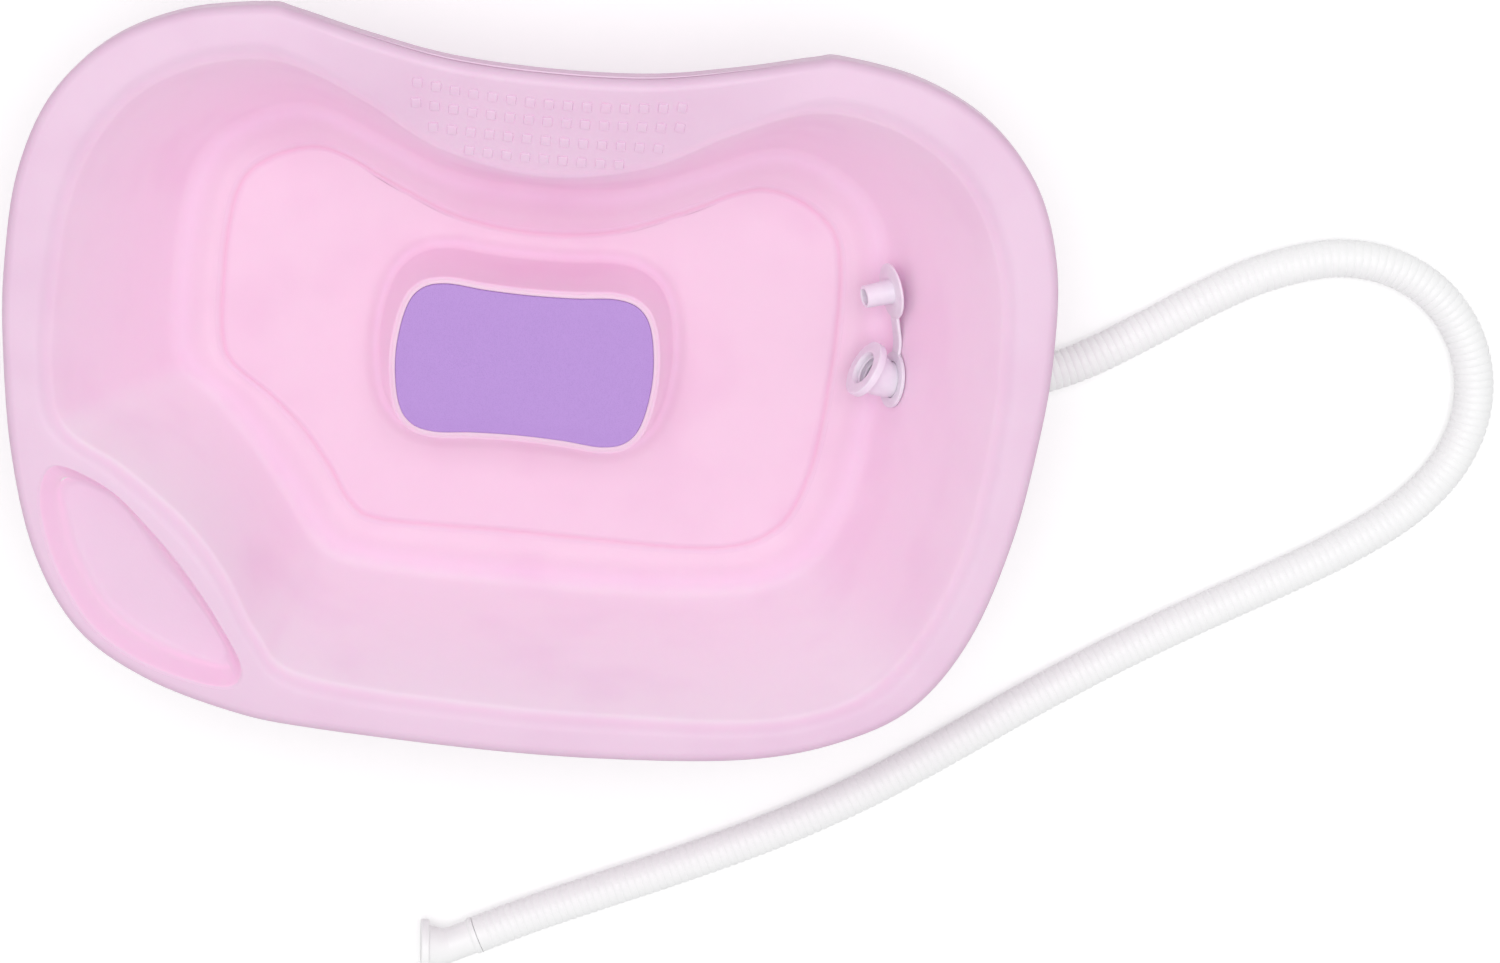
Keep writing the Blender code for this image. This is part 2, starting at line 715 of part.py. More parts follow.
def make_strap(drain, hinge_u, link, parts, plastic):
    """Free stretch of the strap between its two bends, with its origin on the first."""
    strap = box(
        "stopper_strap",
        Vector((CLEARANCE / 2, -STRAP_WIDTH / 2, -STRAP_THICKNESS)),
        Vector((link - CLEARANCE / 2, STRAP_WIDTH / 2, 0)),
        parts,
        plastic,
    )
    lean = Matrix.Rotation(-STRAP_LEAN, 4, "Y")
    strap.matrix_world = drain @ Matrix.Translation((hinge_u, 0, strap_face())) @ lean
    return strap


def make_stopper(strap, link, parts, cutters, plastic):
    """Stopper disc with its hollow plug and its ear, with its origin on the strap's second bend."""
    place = strap.matrix_world @ Matrix.Translation((link, 0, 0))
    model = turned("stopper_cap", [
        (0, PLUG_FLOOR),
        (PLUG_BORE_RADIUS, PLUG_FLOOR),
        (PLUG_BORE_RADIUS, PLUG_LENGTH),
        (PLUG_TIP_RADIUS, PLUG_LENGTH),
        (PLUG_ROOT_RADIUS, 0),
        (STOPPER_RADIUS - STOPPER_EDGE, 0),
        (STOPPER_RADIUS, -STOPPER_EDGE),
        (STOPPER_RADIUS, -STOPPER_THICKNESS),
        (0, -STOPPER_THICKNESS),
    ], Matrix.Identity(4), parts, plastic)
    model.matrix_world = place
    shift = Matrix.Translation((STOPPER_REACH, 0, 0))
    model.data.transform(shift)
    pivot = as_cutter(bpy.data.objects.new("stopper_turning_axis", None))
    cutters.objects.link(pivot)
    pivot.matrix_world = place @ shift
    model.modifiers["turn"].object = pivot
    ear = box(
        "stopper_ear",
        Vector((CLEARANCE / 2, -STRAP_WIDTH / 2, STOPPER_STEP - STOPPER_THICKNESS)),
        Vector((STOPPER_REACH - STOPPER_RADIUS + EAR_OVERLAP, STRAP_WIDTH / 2, -STOPPER_STEP)),
        cutters,
    )
    ear.matrix_world = place
    boolean(model, as_cutter(ear), "UNION")
    return model


def tube_mesh(name, points, radii):
    """Closed mesh of a round tube with its own radius at each point."""
    curve = bpy.data.curves.new(name, "CURVE")
    curve.dimensions = "3D"
    curve.bevel_depth = 1
    curve.bevel_resolution = TUBE_RESOLUTION
    curve.use_fill_caps = True
    spline = curve.splines.new("POLY")
    spline.points.add(len(points) - 1)
    for knot, point, radius in zip(spline.points, points, radii):
        knot.co = (*point, 1)
        knot.radius = radius
    guide = bpy.data.objects.new(f"{name}_curve", curve)
    bpy.context.scene.collection.objects.link(guide)
    bpy.context.view_layer.update()
    depsgraph = bpy.context.evaluated_depsgraph_get()
    mesh = bpy.data.meshes.new_from_object(guide.evaluated_get(depsgraph))
    bpy.data.objects.remove(guide)
    bpy.data.curves.remove(curve)
    model = bmesh.new()
    model.from_mesh(mesh)
    bmesh.ops.remove_doubles(model, verts=model.verts, dist=WELD)
    bmesh.ops.recalc_face_normals(model, faces=model.faces)
    model.to_mesh(mesh)
    model.free()
    mesh.name = name
    return mesh


def hose_path(inlet_place):
    """Smooth centreline of the hose: square out of the inlet, down to the table and along it."""
    end, direction = end_axis(END_LENGTH)
    leave = inlet_place @ (end - direction * CLEARANCE)
    outward = -(inlet_place.to_3x3() @ direction)
    straight = leave + outward * HOSE_RADIUS * 2
    middle = leave.lerp(straight, 1 / 2)
    points = [leave, middle, straight, *[Vector(point) for point in HOSE_ROUTE]]
    return smooth_path(points, PATH_STEPS)


def make_hose(path, parts, cutters, plastic):
    """Ribbed hose with its bore cut out."""
    length = path_length(path)
    plain_end = HOSE_RADIUS / 2
    ribbed = length - plain_end * 2
    pitch = ribbed / HOSE_RIBS
    distances = [0]
    radii = [HOSE_RADIUS]
    for rib in range(HOSE_RIBS):
        distances += [plain_end + pitch * (rib + 1 / 4), plain_end + pitch * (rib + 3 / 4)]
        radii += [HOSE_RADIUS, HOSE_VALLEY_RADIUS]
    distances.append(length)
    radii.append(HOSE_RADIUS)
    hose = new_object("drain_hose", tube_mesh("drain_hose", along(path, distances), radii), parts, plastic)
    start = path[0] + (path[0] - path[1]).normalized() * OVERRUN
    end = path[-1] + (path[-1] - path[-2]).normalized() * OVERRUN
    inner = along(path, [length * i / (BORE_POINTS - 1) for i in range(BORE_POINTS)])
    inner = [start, *inner, end]
    bore_mesh = tube_mesh("hose_bore", inner, [HOSE_BORE_RADIUS] * len(inner))
    boolean(hose, as_cutter(new_object("hose_bore", bore_mesh, cutters)), "DIFFERENCE")
    print(f"hose length {length:.3f} m, rib pitch {pitch * 1000:.1f} mm")
    return hose


def outlet_place(path):
    """Frame of the outlet: it carries on from the end of the hose and its elbow turns level, to the right."""
    ahead = (path[-1] - path[-2]).normalized()
    right = ahead.cross(Vector((0, 0, 1))).normalized()
    frame = Matrix((right, ahead.cross(right), ahead)).transposed().to_4x4()
    end, _ = end_axis(END_LENGTH)
    return Matrix.Translation(path[-1] + ahead * CLEARANCE) @ frame @ Matrix.Translation(-end)


def main():
    """Build every piece."""
    for obj in list(bpy.data.objects):
        bpy.data.objects.remove(obj)
    parts = new_collection("portable_shampoo_basin")
    cutters = new_collection("cutters")
    pink = material("pink_plastic", PINK, PINK_ROUGHNESS)
    purple = material("purple_foam", PURPLE, PURPLE_ROUGHNESS)
    milky = material("milky_soft_plastic", MILKY, MILKY_ROUGHNESS)
    white = material("white_hose_plastic", WHITE, WHITE_ROUGHNESS)
    rings = basin_rings()
    drain = wall_frame(rings)
    hinge_u, link = strap_layout()
    make_shell(rings, drain, parts, cutters, pink)
    make_pad(parts, purple)
    make_grommet(drain, hinge_u, parts, cutters, milky)
    strap = make_strap(drain, hinge_u, link, parts, milky)
    make_stopper(strap, link, parts, cutters, milky)
    make_hose_end("hose_inlet", drain, parts, milky)
    path = hose_path(drain)
    make_hose(path, parts, cutters, white)
    make_hose_end("hose_outlet", outlet_place(path), parts, white)
    along_wall, across, inward = (drain.to_3x3().col[i] for i in range(3))
    first = drain @ Vector((hinge_u, 0, strap_face()))
    second = strap.matrix_world @ Vector((link, 0, 0))
    turn = math.degrees((math.pi - END_BEND - STRAP_LEAN) / 2)
    print(f"drain centre {drain.translation}, into the bowl {inward}, along the wall {along_wall}")
    print(f"first bend {first}, second bend {second}, bend axis {-across}, each turns {turn:.2f} degrees")
    print(f"hose leaves at {path[0]} towards {(path[1] - path[0]).normalized()}")


main()
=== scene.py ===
# %% [markdown]
# # A portable shampoo basin, dressed for its picture
# The real thing is a light plastic basin for washing someone's hair on a bed or a table. The neck lies in
# the dip of the rim, the head on a purple pad, and the water leaves through a ribbed hose.
# The CAD model says where every piece is and how the stopper swings. This lesson puts finer pieces over it,
# because a picture shows roundings, ribs and finishes that a collision model can do without.

# %% Tools
import json
import math

import bmesh
import bpy
from mathutils import Matrix, Vector
from mathutils.bvhtree import BVHTree


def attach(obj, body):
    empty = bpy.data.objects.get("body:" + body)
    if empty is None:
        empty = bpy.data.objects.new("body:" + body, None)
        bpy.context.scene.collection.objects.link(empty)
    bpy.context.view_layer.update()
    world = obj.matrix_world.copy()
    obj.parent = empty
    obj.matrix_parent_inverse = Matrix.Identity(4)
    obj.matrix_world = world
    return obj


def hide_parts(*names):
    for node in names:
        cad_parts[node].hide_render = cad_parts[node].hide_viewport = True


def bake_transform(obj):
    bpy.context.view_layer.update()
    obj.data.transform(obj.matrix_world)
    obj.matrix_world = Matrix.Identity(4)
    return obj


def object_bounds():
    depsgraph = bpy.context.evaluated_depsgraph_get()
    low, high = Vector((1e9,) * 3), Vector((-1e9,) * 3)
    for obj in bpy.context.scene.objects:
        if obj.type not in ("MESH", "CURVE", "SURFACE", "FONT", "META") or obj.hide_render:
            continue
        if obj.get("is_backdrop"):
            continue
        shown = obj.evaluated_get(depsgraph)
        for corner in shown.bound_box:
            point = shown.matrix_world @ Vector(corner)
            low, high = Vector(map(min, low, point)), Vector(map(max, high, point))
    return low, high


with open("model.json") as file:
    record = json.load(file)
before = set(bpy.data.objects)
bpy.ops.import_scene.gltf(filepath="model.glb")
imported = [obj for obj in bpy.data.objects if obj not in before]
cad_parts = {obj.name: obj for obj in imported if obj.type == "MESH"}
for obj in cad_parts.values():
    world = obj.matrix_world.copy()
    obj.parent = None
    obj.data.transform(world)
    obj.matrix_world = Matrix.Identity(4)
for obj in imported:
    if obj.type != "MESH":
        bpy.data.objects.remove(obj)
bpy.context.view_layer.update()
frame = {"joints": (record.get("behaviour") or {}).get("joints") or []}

# %% [markdown]
# ## The camera
# The basin was photographed from almost straight above, by a camera beyond the neck rest that was held a
# little turned. A long lens keeps the walls from splaying. The frame is shifted to the right, which leaves
# the perspective centred on the basin while the hose still fits in.

# %% Camera
CAMERA_PLACE = Vector((0.0, 0.3051, 1.9553))
CAMERA_AIM = Vector((0.0149, -0.0448, 0.1800))
CAMERA_ROLL = math.radians(5.5)
CAMERA_LENS = 77.32
CAMERA_SHIFT = 0.14
ACROSS_TABLE = Vector((0, 1, 0))

looking = (CAMERA_AIM - CAMERA_PLACE).normalized()
level_right = looking.cross(ACROSS_TABLE).normalized()
level_up = level_right.cross(looking)
frame_right = level_right * math.cos(CAMERA_ROLL) + level_up * math.sin(CAMERA_ROLL)
frame_up = level_up * math.cos(CAMERA_ROLL) - level_right * math.sin(CAMERA_ROLL)

lens = bpy.data.cameras.new("photo_camera")
lens.lens = CAMERA_LENS
lens.shift_x = CAMERA_SHIFT
camera = bpy.data.objects.new("photo_camera", lens)
bpy.context.scene.collection.objects.link(camera)
turned = Matrix((frame_right, frame_up, -looking)).transposed().to_4x4()
camera.matrix_world = Matrix.Translation(CAMERA_PLACE) @ turned
bpy.context.scene.camera = camera
print("camera", round((CAMERA_AIM - CAMERA_PLACE).length, 3), "m from the rim")

# %% [markdown]
# ## Reckoning with shader nodes
# A finish is a small network of nodes. Wiring them one by one is hard to read, so a `Wire` stands for one
# output socket and lets Python's signs add the Math nodes: `1 - mask * 0.3` makes two of them. Colours go
# through Mix nodes, because a Math node would turn them grey. Every other node comes from `Network.node`,
# which the sky uses too.

# %% A wire and a finish
class Wire:
    """One output socket that +, - and * work on."""

    def __init__(self, network, socket):
        self.network = network
        self.socket = socket

    def reckon(self, operation, *values):
        return self.network.node("ShaderNodeMath", {"operation": operation}, dict(enumerate(values)))

    def larger(self, other):
        return self.reckon("MAXIMUM", self, other)

    def __abs__(self):
        return self.reckon("ABSOLUTE", self)

    def __add__(self, other):
        return self.reckon("ADD", self, other)

    def __sub__(self, other):
        return self.reckon("SUBTRACT", self, other)

    def __mul__(self, other):
        return self.reckon("MULTIPLY", self, other)

    def __radd__(self, other):
        return self.reckon("ADD", other, self)

    def __rsub__(self, other):
        return self.reckon("SUBTRACT", other, self)

    def __rmul__(self, other):
        return self.reckon("MULTIPLY", other, self)


class Network:
    """A tree of shader nodes that is put together node by node."""

    def __init__(self, tree):
        self.tree = tree

    def node(self, kind, settings, inputs, output=0):
        """Add a node, make its settings, then fill or wire its sockets, and return one output."""
        made = self.tree.nodes.new(kind)
        for name, value in settings.items():
            setattr(made, name, value)
        for key, value in inputs.items():
            names = [socket.identifier for socket in made.inputs]
            self.plug(made.inputs[names.index(key) if isinstance(key, str) else key], value)
        names = [socket.identifier for socket in made.outputs]
        return Wire(self, made.outputs[names.index(output) if isinstance(output, str) else output])

    def plug(self, socket, value):
        if isinstance(value, Wire):
            self.tree.links.new(value.socket, socket)
        else:
            socket.default_value = value


class Finish(Network):
    """A material with its network round its main shader."""

    def __init__(self, name, constants):
        self.material = bpy.data.materials.new(name)
        self.material.use_nodes = True
        super().__init__(self.material.node_tree)
        self.shader = self.tree.nodes["Principled BSDF"]
        for socket, value in constants.items():
            self.shader.inputs[socket].default_value = value

    def surface(self, name, value):
        """Wire something that varies into the main shader."""
        self.plug(self.shader.inputs[name], value)

    def place(self):
        """Where a point lies on its piece, in metres."""
        return self.node("ShaderNodeTexCoord", {}, {}, "Object")

    def noise(self, grain, detail=2.0, roughness=0.5):
        """Soft random values from 0 to 1, whose grain is so many metres wide."""
        sockets = {"Vector": self.place(), "Scale": 1 / grain, "Detail": detail, "Roughness": roughness}
        return self.node("ShaderNodeTexNoise", {}, sockets, 0)

    def between(self, value, low, high):
        """0 below low, 1 above high and a soft step in between."""
        sockets = {"Value": value, "From Min": low, "From Max": high}
        return self.node("ShaderNodeMapRange", {"interpolation_type": "SMOOTHSTEP"}, sockets, 0)

    def vectors(self, operation, *values, output=0):
        """Reckon with vectors, which a Math node can't take."""
        return self.node("ShaderNodeVectorMath", {"operation": operation}, dict(enumerate(values)), output)

    def part(self, vector, letter):
        """One of the three numbers of a vector."""
        return self.node("ShaderNodeSeparateXYZ", {}, {"Vector": vector}, letter)

    def mix(self, share, first, second, blend="MIX"):
        """Blend from the first colour to the second."""
        settings = {"data_type": "RGBA", "blend_type": blend}
        sockets = {"Factor_Float": share, "A_Color": first, "B_Color": second}
        return self.node("ShaderNodeMix", settings, sockets, "Result_Color")

    def relief(self, height, depth):
        """Let a height from 0 to 1 shade as if it were so many metres deep."""
        normal = self.node("ShaderNodeBump", {}, {"Height": height, "Distance": depth}, 0)
        self.surface("Normal", normal)


def chart(red, green, blue):
    """Linear colour from the 0 to 255 numbers of a colour chart."""
    light = [((part / 255 + 0.055) / 1.055) ** 2.4 for part in (red, green, blue)]
    return (*light, 1)


print("a white from the chart:", [round(part, 3) for part in chart(240, 240, 240)])

# %% [markdown]
# ## The pink plastic
# The basin is moulded in soft, slightly clouded polypropylene with a satin skin. Light and shade are painted
# into its pink. The bowl is painted paler and warmer than the rim, and the lip, slopes and steep walls paler
# still, as painted light where the lamps give them less. The groove round the floor takes a deeper painted
# shade, and the foot-end wall, which faces the lamp, a paler painted sheen. Height and slope tell these
# places apart, so no picture has to be laid round the shape. The outside and the edge of the rim face away
# from the middle and are painted a little deeper than the rim, as painted shade. The head block faces away
# too, so the places within its reach are left out of that. The tray's pocket and the nubs are small and take
# one paler painted-light colour each for all five kinds of place.
# Noise adds the clouds of the melt, the fine pebble of the mould, a gloss that handling left uneven, and a
# few short scuffs, which are stretched noise with only its highest peaks kept.

# %% Pink plastic
PINK_RIM = chart(227, 196, 219)
# Painted light: the bowl below the rim is painted paler and warmer than the rim.
PINK_BOWL_PAINTED_LIGHT = chart(234, 202, 222)
# Painted light: the lip and the slopes are painted paler than the rim.
PINK_LIP_PAINTED_LIGHT = chart(239, 206, 229)
PINK_SLOPE_PAINTED_LIGHT = chart(247, 217, 238)
# Painted light: steep walls are painted paler still.
PINK_WALL_PAINTED_LIGHT = chart(255, 226, 244)
# Painted sheen on the foot-end wall, which faces the neck end and the lamp.
PINK_FOOT_WALL_PAINTED_SHEEN = chart(255, 237, 249)
# Painted shade on the outside and the rim's outer edge.
PINK_EDGE_PAINTED_SHADE = chart(221, 187, 212)
# Painted shade in the groove round the floor.
PINK_GROOVE_PAINTED_SHADE = chart(238, 193, 217)
# Painted light on the tray pocket's slopes and walls.
PINK_TRAY_WALL_PAINTED_LIGHT = chart(248, 205, 232)
# Painted light on the nubs' sides.
PINK_NUB_PAINTED_LIGHT = chart(236, 205, 228)
PINK_CLOUDED = (0.955, 0.900, 0.945, 1)
RIM_ABOVE, BOWL_BELOW = 0.150, 0.118
SLOPE_AT, LEVEL_AT = 0.70, 0.99
WALL_AT, SLOPE_TO = 0.38, 0.80
INSIDE_TO, OUTSIDE_FROM = 0.0, 0.030
BLOCK_SHAPE = (1.0, 1.4, 0.0)
BLOCK_TO, SHELL_FROM = 0.1005, 0.1100
EDGE_STEEP_AT, EDGE_LEVEL_AT = 0.50, 0.995
GROOVE_ABOVE, GROOVE_BELOW = 0.0025, 0.0014
FOOT_FROM, FOOT_TO = 0.3, 0.8
PINK_CLOUD = 0.070
CLOUD_FROM, CLOUD_TO = 0.45, 0.75
CLOUD_SHARE, SPECK_SHARE = 0.6, 0.2
PINK_DEPTH = 0.004
PINK_PEBBLE = 0.0016
PINK_PEBBLE_DEPTH = 0.00003
PINK_ROUGHNESS, PATCH_DULLS, SCUFF_DULLS = 0.38, 0.14, 0.12
PINK_GLOSS_PATCH = 0.035
SCUFF_GRAIN = 0.010
SCUFF_STRETCH = (0.35, 2.6, 1.0)
SCUFF_FROM, SCUFF_TO = 0.68, 0.78
SCUFF_CUTS = 0.5


def pink_plastic(name, lip, slope, wall, painted_sheen_foot_wall, edge):
    """The basin's plastic, with painted light for lip, slopes and walls, painted sheen for the foot-end wall,
    painted shade outside.
    """
    pink = Finish(name, {
        "IOR": 1.49,
        "Subsurface Weight": 0.25,
        "Subsurface Radius": (1.0, 0.55, 0.80),
        "Subsurface Scale": PINK_DEPTH,
    })
    height = pink.part(pink.place(), "Z")
    facing_to = pink.node("ShaderNodeTexCoord", {}, {}, "Normal")
    upright = abs(pink.part(facing_to, "Z"))
    flat_place = pink.vectors("MULTIPLY", pink.place(), (1, 1, 0))
    away = pink.vectors("DOT_PRODUCT", flat_place, facing_to, output="Value")
    folded = pink.vectors("ABSOLUTE", pink.vectors("MULTIPLY", pink.place(), BLOCK_SHAPE))
    reach = pink.part(folded, "X").larger(pink.part(folded, "Y"))
    # Painted light: below the rim the bowl takes its paler, warmer pink.
    low = pink.between(height, RIM_ABOVE, BOWL_BELOW)
    shell = pink.between(reach, BLOCK_TO, SHELL_FROM)
    outside = pink.between(away, INSIDE_TO, OUTSIDE_FROM) * shell
    # Painted light: slopes inside are painted paler.
    painted_light_slope_mask = (1 - pink.between(upright, SLOPE_AT, LEVEL_AT)) * (1 - outside)
    # Painted light: steep walls inside are painted paler still.
    steep = (1 - pink.between(upright, WALL_AT, SLOPE_TO)) * (1 - outside)
    # Painted shade: faces that turn away from the middle, the outside and the rim's outer roll, are painted
    # deeper.
    rolled = (1 - pink.between(upright, EDGE_STEEP_AT, EDGE_LEVEL_AT)) * outside
    moulded = pink.mix(low, PINK_RIM, PINK_BOWL_PAINTED_LIGHT)
    # Painted shade: the groove round the floor takes a deeper pink.
    moulded = pink.mix(pink.between(height, GROOVE_ABOVE, GROOVE_BELOW), moulded, PINK_GROOVE_PAINTED_SHADE)
    # Painted light for slopes: paler near the rim, paler still in the bowl.
    slope = pink.mix(low, lip, slope)
    # Painted sheen: walls that face the neck end, as the foot-end wall does, are painted paler again.
    painted_sheen_foot_mask = pink.between(pink.part(facing_to, "Y"), FOOT_FROM, FOOT_TO) * shell
    wall = pink.mix(painted_sheen_foot_mask, wall, painted_sheen_foot_wall)
    # All the painted light and shade are mixed over the rim's pink here.
    moulded = pink.mix(rolled, pink.mix(steep, pink.mix(painted_light_slope_mask, moulded, slope), wall), edge)
    cloud = pink.between(pink.noise(PINK_CLOUD), CLOUD_FROM, CLOUD_TO)
    speck = pink.noise(PINK_PEBBLE * 3, detail=3.0)
    clouded = cloud * CLOUD_SHARE + speck * SPECK_SHARE
    pink.surface("Base Color", pink.mix(clouded, moulded, PINK_CLOUDED, blend="MULTIPLY"))

    stretched = pink.node("ShaderNodeMapping", {}, {"Vector": pink.place(), "Scale": SCUFF_STRETCH})
    scuff_sockets = {"Vector": stretched, "Scale": 1 / SCUFF_GRAIN, "Detail": 5.0}
    scuff = pink.between(pink.node("ShaderNodeTexNoise", {}, scuff_sockets, 0), SCUFF_FROM, SCUFF_TO)
    gloss_patch = pink.noise(PINK_GLOSS_PATCH, detail=4.0)
    pink.surface("Roughness", PINK_ROUGHNESS + PATCH_DULLS * gloss_patch + SCUFF_DULLS * scuff)
    pink.relief(pink.noise(PINK_PEBBLE, detail=1.0) - SCUFF_CUTS * scuff, PINK_PEBBLE_DEPTH)
    return pink


basin_pink = pink_plastic("pink_plastic", PINK_LIP_PAINTED_LIGHT, PINK_SLOPE_PAINTED_LIGHT, PINK_WALL_PAINTED_LIGHT, PINK_FOOT_WALL_PAINTED_SHEEN, PINK_EDGE_PAINTED_SHADE)
# Painted light: the tray pocket's slopes and walls take one paler pink.
tray_pink = pink_plastic("pink_plastic_in_tray", *[PINK_TRAY_WALL_PAINTED_LIGHT] * 5)
# Painted light: the nubs' sides take one paler pink.
nub_pink = pink_plastic("pink_plastic_on_nubs", *[PINK_NUB_PAINTED_LIGHT] * 5)
pinks = [basin_pink, tray_pink, nub_pink]
print(basin_pink.material.name, len(basin_pink.tree.nodes), "nodes")

# %% [markdown]
# ## The purple foam
# The pad is closed-cell foam with a skin: one even purple, closed pores under a millimetre wide that show as
# a fine tooth, and a dull sheen. Voronoi cells give the pores their round shape, which noise would not.

# %% Purple foam
PURPLE_FACE = chart(182, 146, 214)
PURPLE_PORE = chart(169, 132, 203)
FOAM_PORE = 0.0007
FOAM_PORE_DEPTH = 0.00005
FOAM_WAVE = 0.012
PORE_FROM, PORE_TO = 0.05, 0.55
PORE_SHARE, WAVE_SHARE = 0.6, 0.4
FOAM_ROUGHNESS, FOAM_DULLS = 0.46, 0.14

foam = Finish("purple_foam", {"IOR": 1.45, "Specular IOR Level": 0.4})
pore_sockets = {"Vector": foam.place(), "Scale": 1 / FOAM_PORE}
pore_distance = foam.node("ShaderNodeTexVoronoi", {}, pore_sockets, "Distance")
pore = foam.between(pore_distance, PORE_FROM, PORE_TO)
drift = foam.noise(FOAM_WAVE, detail=3.0)
foam.surface("Base Color", foam.mix(PORE_SHARE * pore + WAVE_SHARE * drift, PURPLE_PORE, PURPLE_FACE))
foam.surface("Roughness", FOAM_ROUGHNESS + FOAM_DULLS * drift)
foam.relief(pore + 0.5 * drift, FOAM_PORE_DEPTH)
print(foam.material.name, len(foam.tree.nodes), "nodes")

# %% [markdown]
# ## The milky soft plastic
# The ring, the strap, the stopper and the inlet are soft vinyl without a dye. Light sinks a few millimetres
# into it, so subsurface scattering is set on the shader. Frosting and flow marks come from two noises.

# %% Milky soft plastic
MILK_CLEAR = chart(225, 218, 230)
MILK_DENSE = chart(238, 233, 241)
MILK_FLOW = 0.007
MILK_FROST = 0.0006
MILK_FROST_DEPTH = 0.00002
MILK_DEPTH = 0.0035
MILK_ROUGHNESS, MILK_DULLS = 0.32, 0.16

milk = Finish("milky_soft_plastic", {
    "IOR": 1.45,
    "Subsurface Weight": 0.35,
    "Subsurface Radius": (1.0, 0.85, 0.95),
    "Subsurface Scale": MILK_DEPTH,
})
flow = milk.noise(MILK_FLOW, detail=3.0)
milk.surface("Base Color", milk.mix(flow, MILK_CLEAR, MILK_DENSE))
milk.surface("Roughness", MILK_ROUGHNESS + MILK_DULLS * flow)
milk.relief(milk.noise(MILK_FROST, detail=1.0), MILK_FROST_DEPTH)
print(milk.material.name, len(milk.tree.nodes), "nodes")

# %% [markdown]
# ## The white hose plastic
# The hose is blown from white polyethylene. It is whiter and duller than the stopper, and the thin webs
# between its ribs let a little light through. Faint flow streaks keep it from looking like paper.

# %% White hose plastic
HOSE_WHITE = chart(252, 252, 252)
HOSE_GREY = chart(247, 247, 248)
HOSE_STREAK = 0.009
HOSE_SKIN = 0.0011
HOSE_SKIN_DEPTH = 0.00002
HOSE_DEPTH = 0.002
HOSE_ROUGHNESS, HOSE_DULLS = 0.38, 0.14

white = Finish("white_hose_plastic", {
    "IOR": 1.5,
    "Subsurface Weight": 0.05,
    "Subsurface Radius": (1.0, 1.0, 1.0),
    "Subsurface Scale": HOSE_DEPTH,
})
streak = white.noise(HOSE_STREAK, detail=3.0)
white.surface("Base Color", white.mix(streak, HOSE_GREY, HOSE_WHITE))
white.surface("Roughness", HOSE_ROUGHNESS + HOSE_DULLS * streak)
white.relief(white.noise(HOSE_SKIN, detail=1.0), HOSE_SKIN_DEPTH)
print(white.material.name, len(white.tree.nodes), "nodes")

# %% [markdown]
# ## Curves and skins
# Everything moulded here is a stack of closed rings with a skin over them, so a few helpers do for the whole
# basin: a curve that passes softly through its points, an arc that rounds a corner, a ring grown outward,
# and the skin itself. Subdivision could round a coarse cage too, but it pulls the shape off the CAD's line.

# %% Curve helpers
def soft_point(before, start, end, after, share):
    """Point at a share of the way from start to end on a soft curve."""
    square = share * share
    cube = square * share
    return (
        start * 2
        + (end - before) * share
        + (before * 2 - start * 5 + end * 4 - after) * square
        + (start * 3 - before - end * 3 + after) * cube
    ) / 2


def soft_loop(points, steps):
    """Closed soft curve through points."""
    count = len(points)
    return [
        soft_point(points[i - 1], points[i], points[(i + 1) % count], points[(i + 2) % count], step / steps)
        for i in range(count)
        for step in range(steps)
    ]


def soft_path(points, steps):
    """Open soft curve through points."""
    padded = [points[0] * 2 - points[1], *points, points[-1] * 2 - points[-2]]
    path = [
        soft_point(*padded[i - 1:i + 3], step / steps)
        for i in range(1, len(points))
        for step in range(steps)
    ]
    return [*path, points[-1]]


def path_length(path):
    """Length along a list of points."""
    return sum((end - start).length for start, end in zip(path, path[1:]))


def along(path, distances):
    """Points at rising distances along a path."""
    found = []
    travelled = 0
    leg = 0
    for distance in distances:
        while leg < len(path) - 2 and travelled + (path[leg + 1] - path[leg]).length < distance:
            travelled += (path[leg + 1] - path[leg]).length
            leg += 1
        span = (path[leg + 1] - path[leg]).length
        found.append(path[leg].lerp(path[leg + 1], (distance - travelled) / span))
    return found


def fillet(before, corner, after, radius, segments):
    """Arc that rounds the corner between two straight lines."""
    back = (before - corner).normalized()
    ahead = (after - corner).normalized()
    half_angle = back.angle(ahead) / 2
    centre = corner + (back + ahead).normalized() * radius / math.sin(half_angle)
    tangent = radius / math.tan(half_angle)
    start = corner + back * tangent - centre
    end = corner + ahead * tangent - centre
    return [centre + start.slerp(end, i / segments) * radius for i in range(segments + 1)]


def stops(start, end, count):
    """Evenly spaced points between two others, without them."""
    return [start.lerp(end, (i + 1) / (count + 1)) for i in range(count)]


quarter_turn = fillet(Vector((1, 0, 0)), Vector(), Vector((0, 1, 0)), 0.5, 4)
print("a quarter turn in four steps:", len(quarter_turn), "points")

# %% [markdown]
# ## Rings and pieces
# A ring is a list of points, so growing it, laying it level or skinning it takes a few lines of Python. A
# piece is what comes out: a mesh with its finish, shaded smoothly except over edges that are really sharp.

# %% Ring helpers
SHARP_ABOVE = 30
CORNER_STEPS = 4


def grow(ring, distance):
    """Ring moved outward by a distance, square to itself."""
    count = len(ring)
    area = sum(ring[i - 1].x * ring[i].y - ring[i].x * ring[i - 1].y for i in range(count))
    turn = 1 if area > 0 else -1
    grown = []
    for i, point in enumerate(ring):
        tangent = ring[(i + 1) % count] - ring[i - 1]
        grown.append(point + Vector((tangent.y, -tangent.x, 0)).normalized() * turn * distance)
    return grown


def at_height(ring, height):
    """Ring laid level at a height."""
    return [Vector((point.x, point.y, height)) for point in ring]


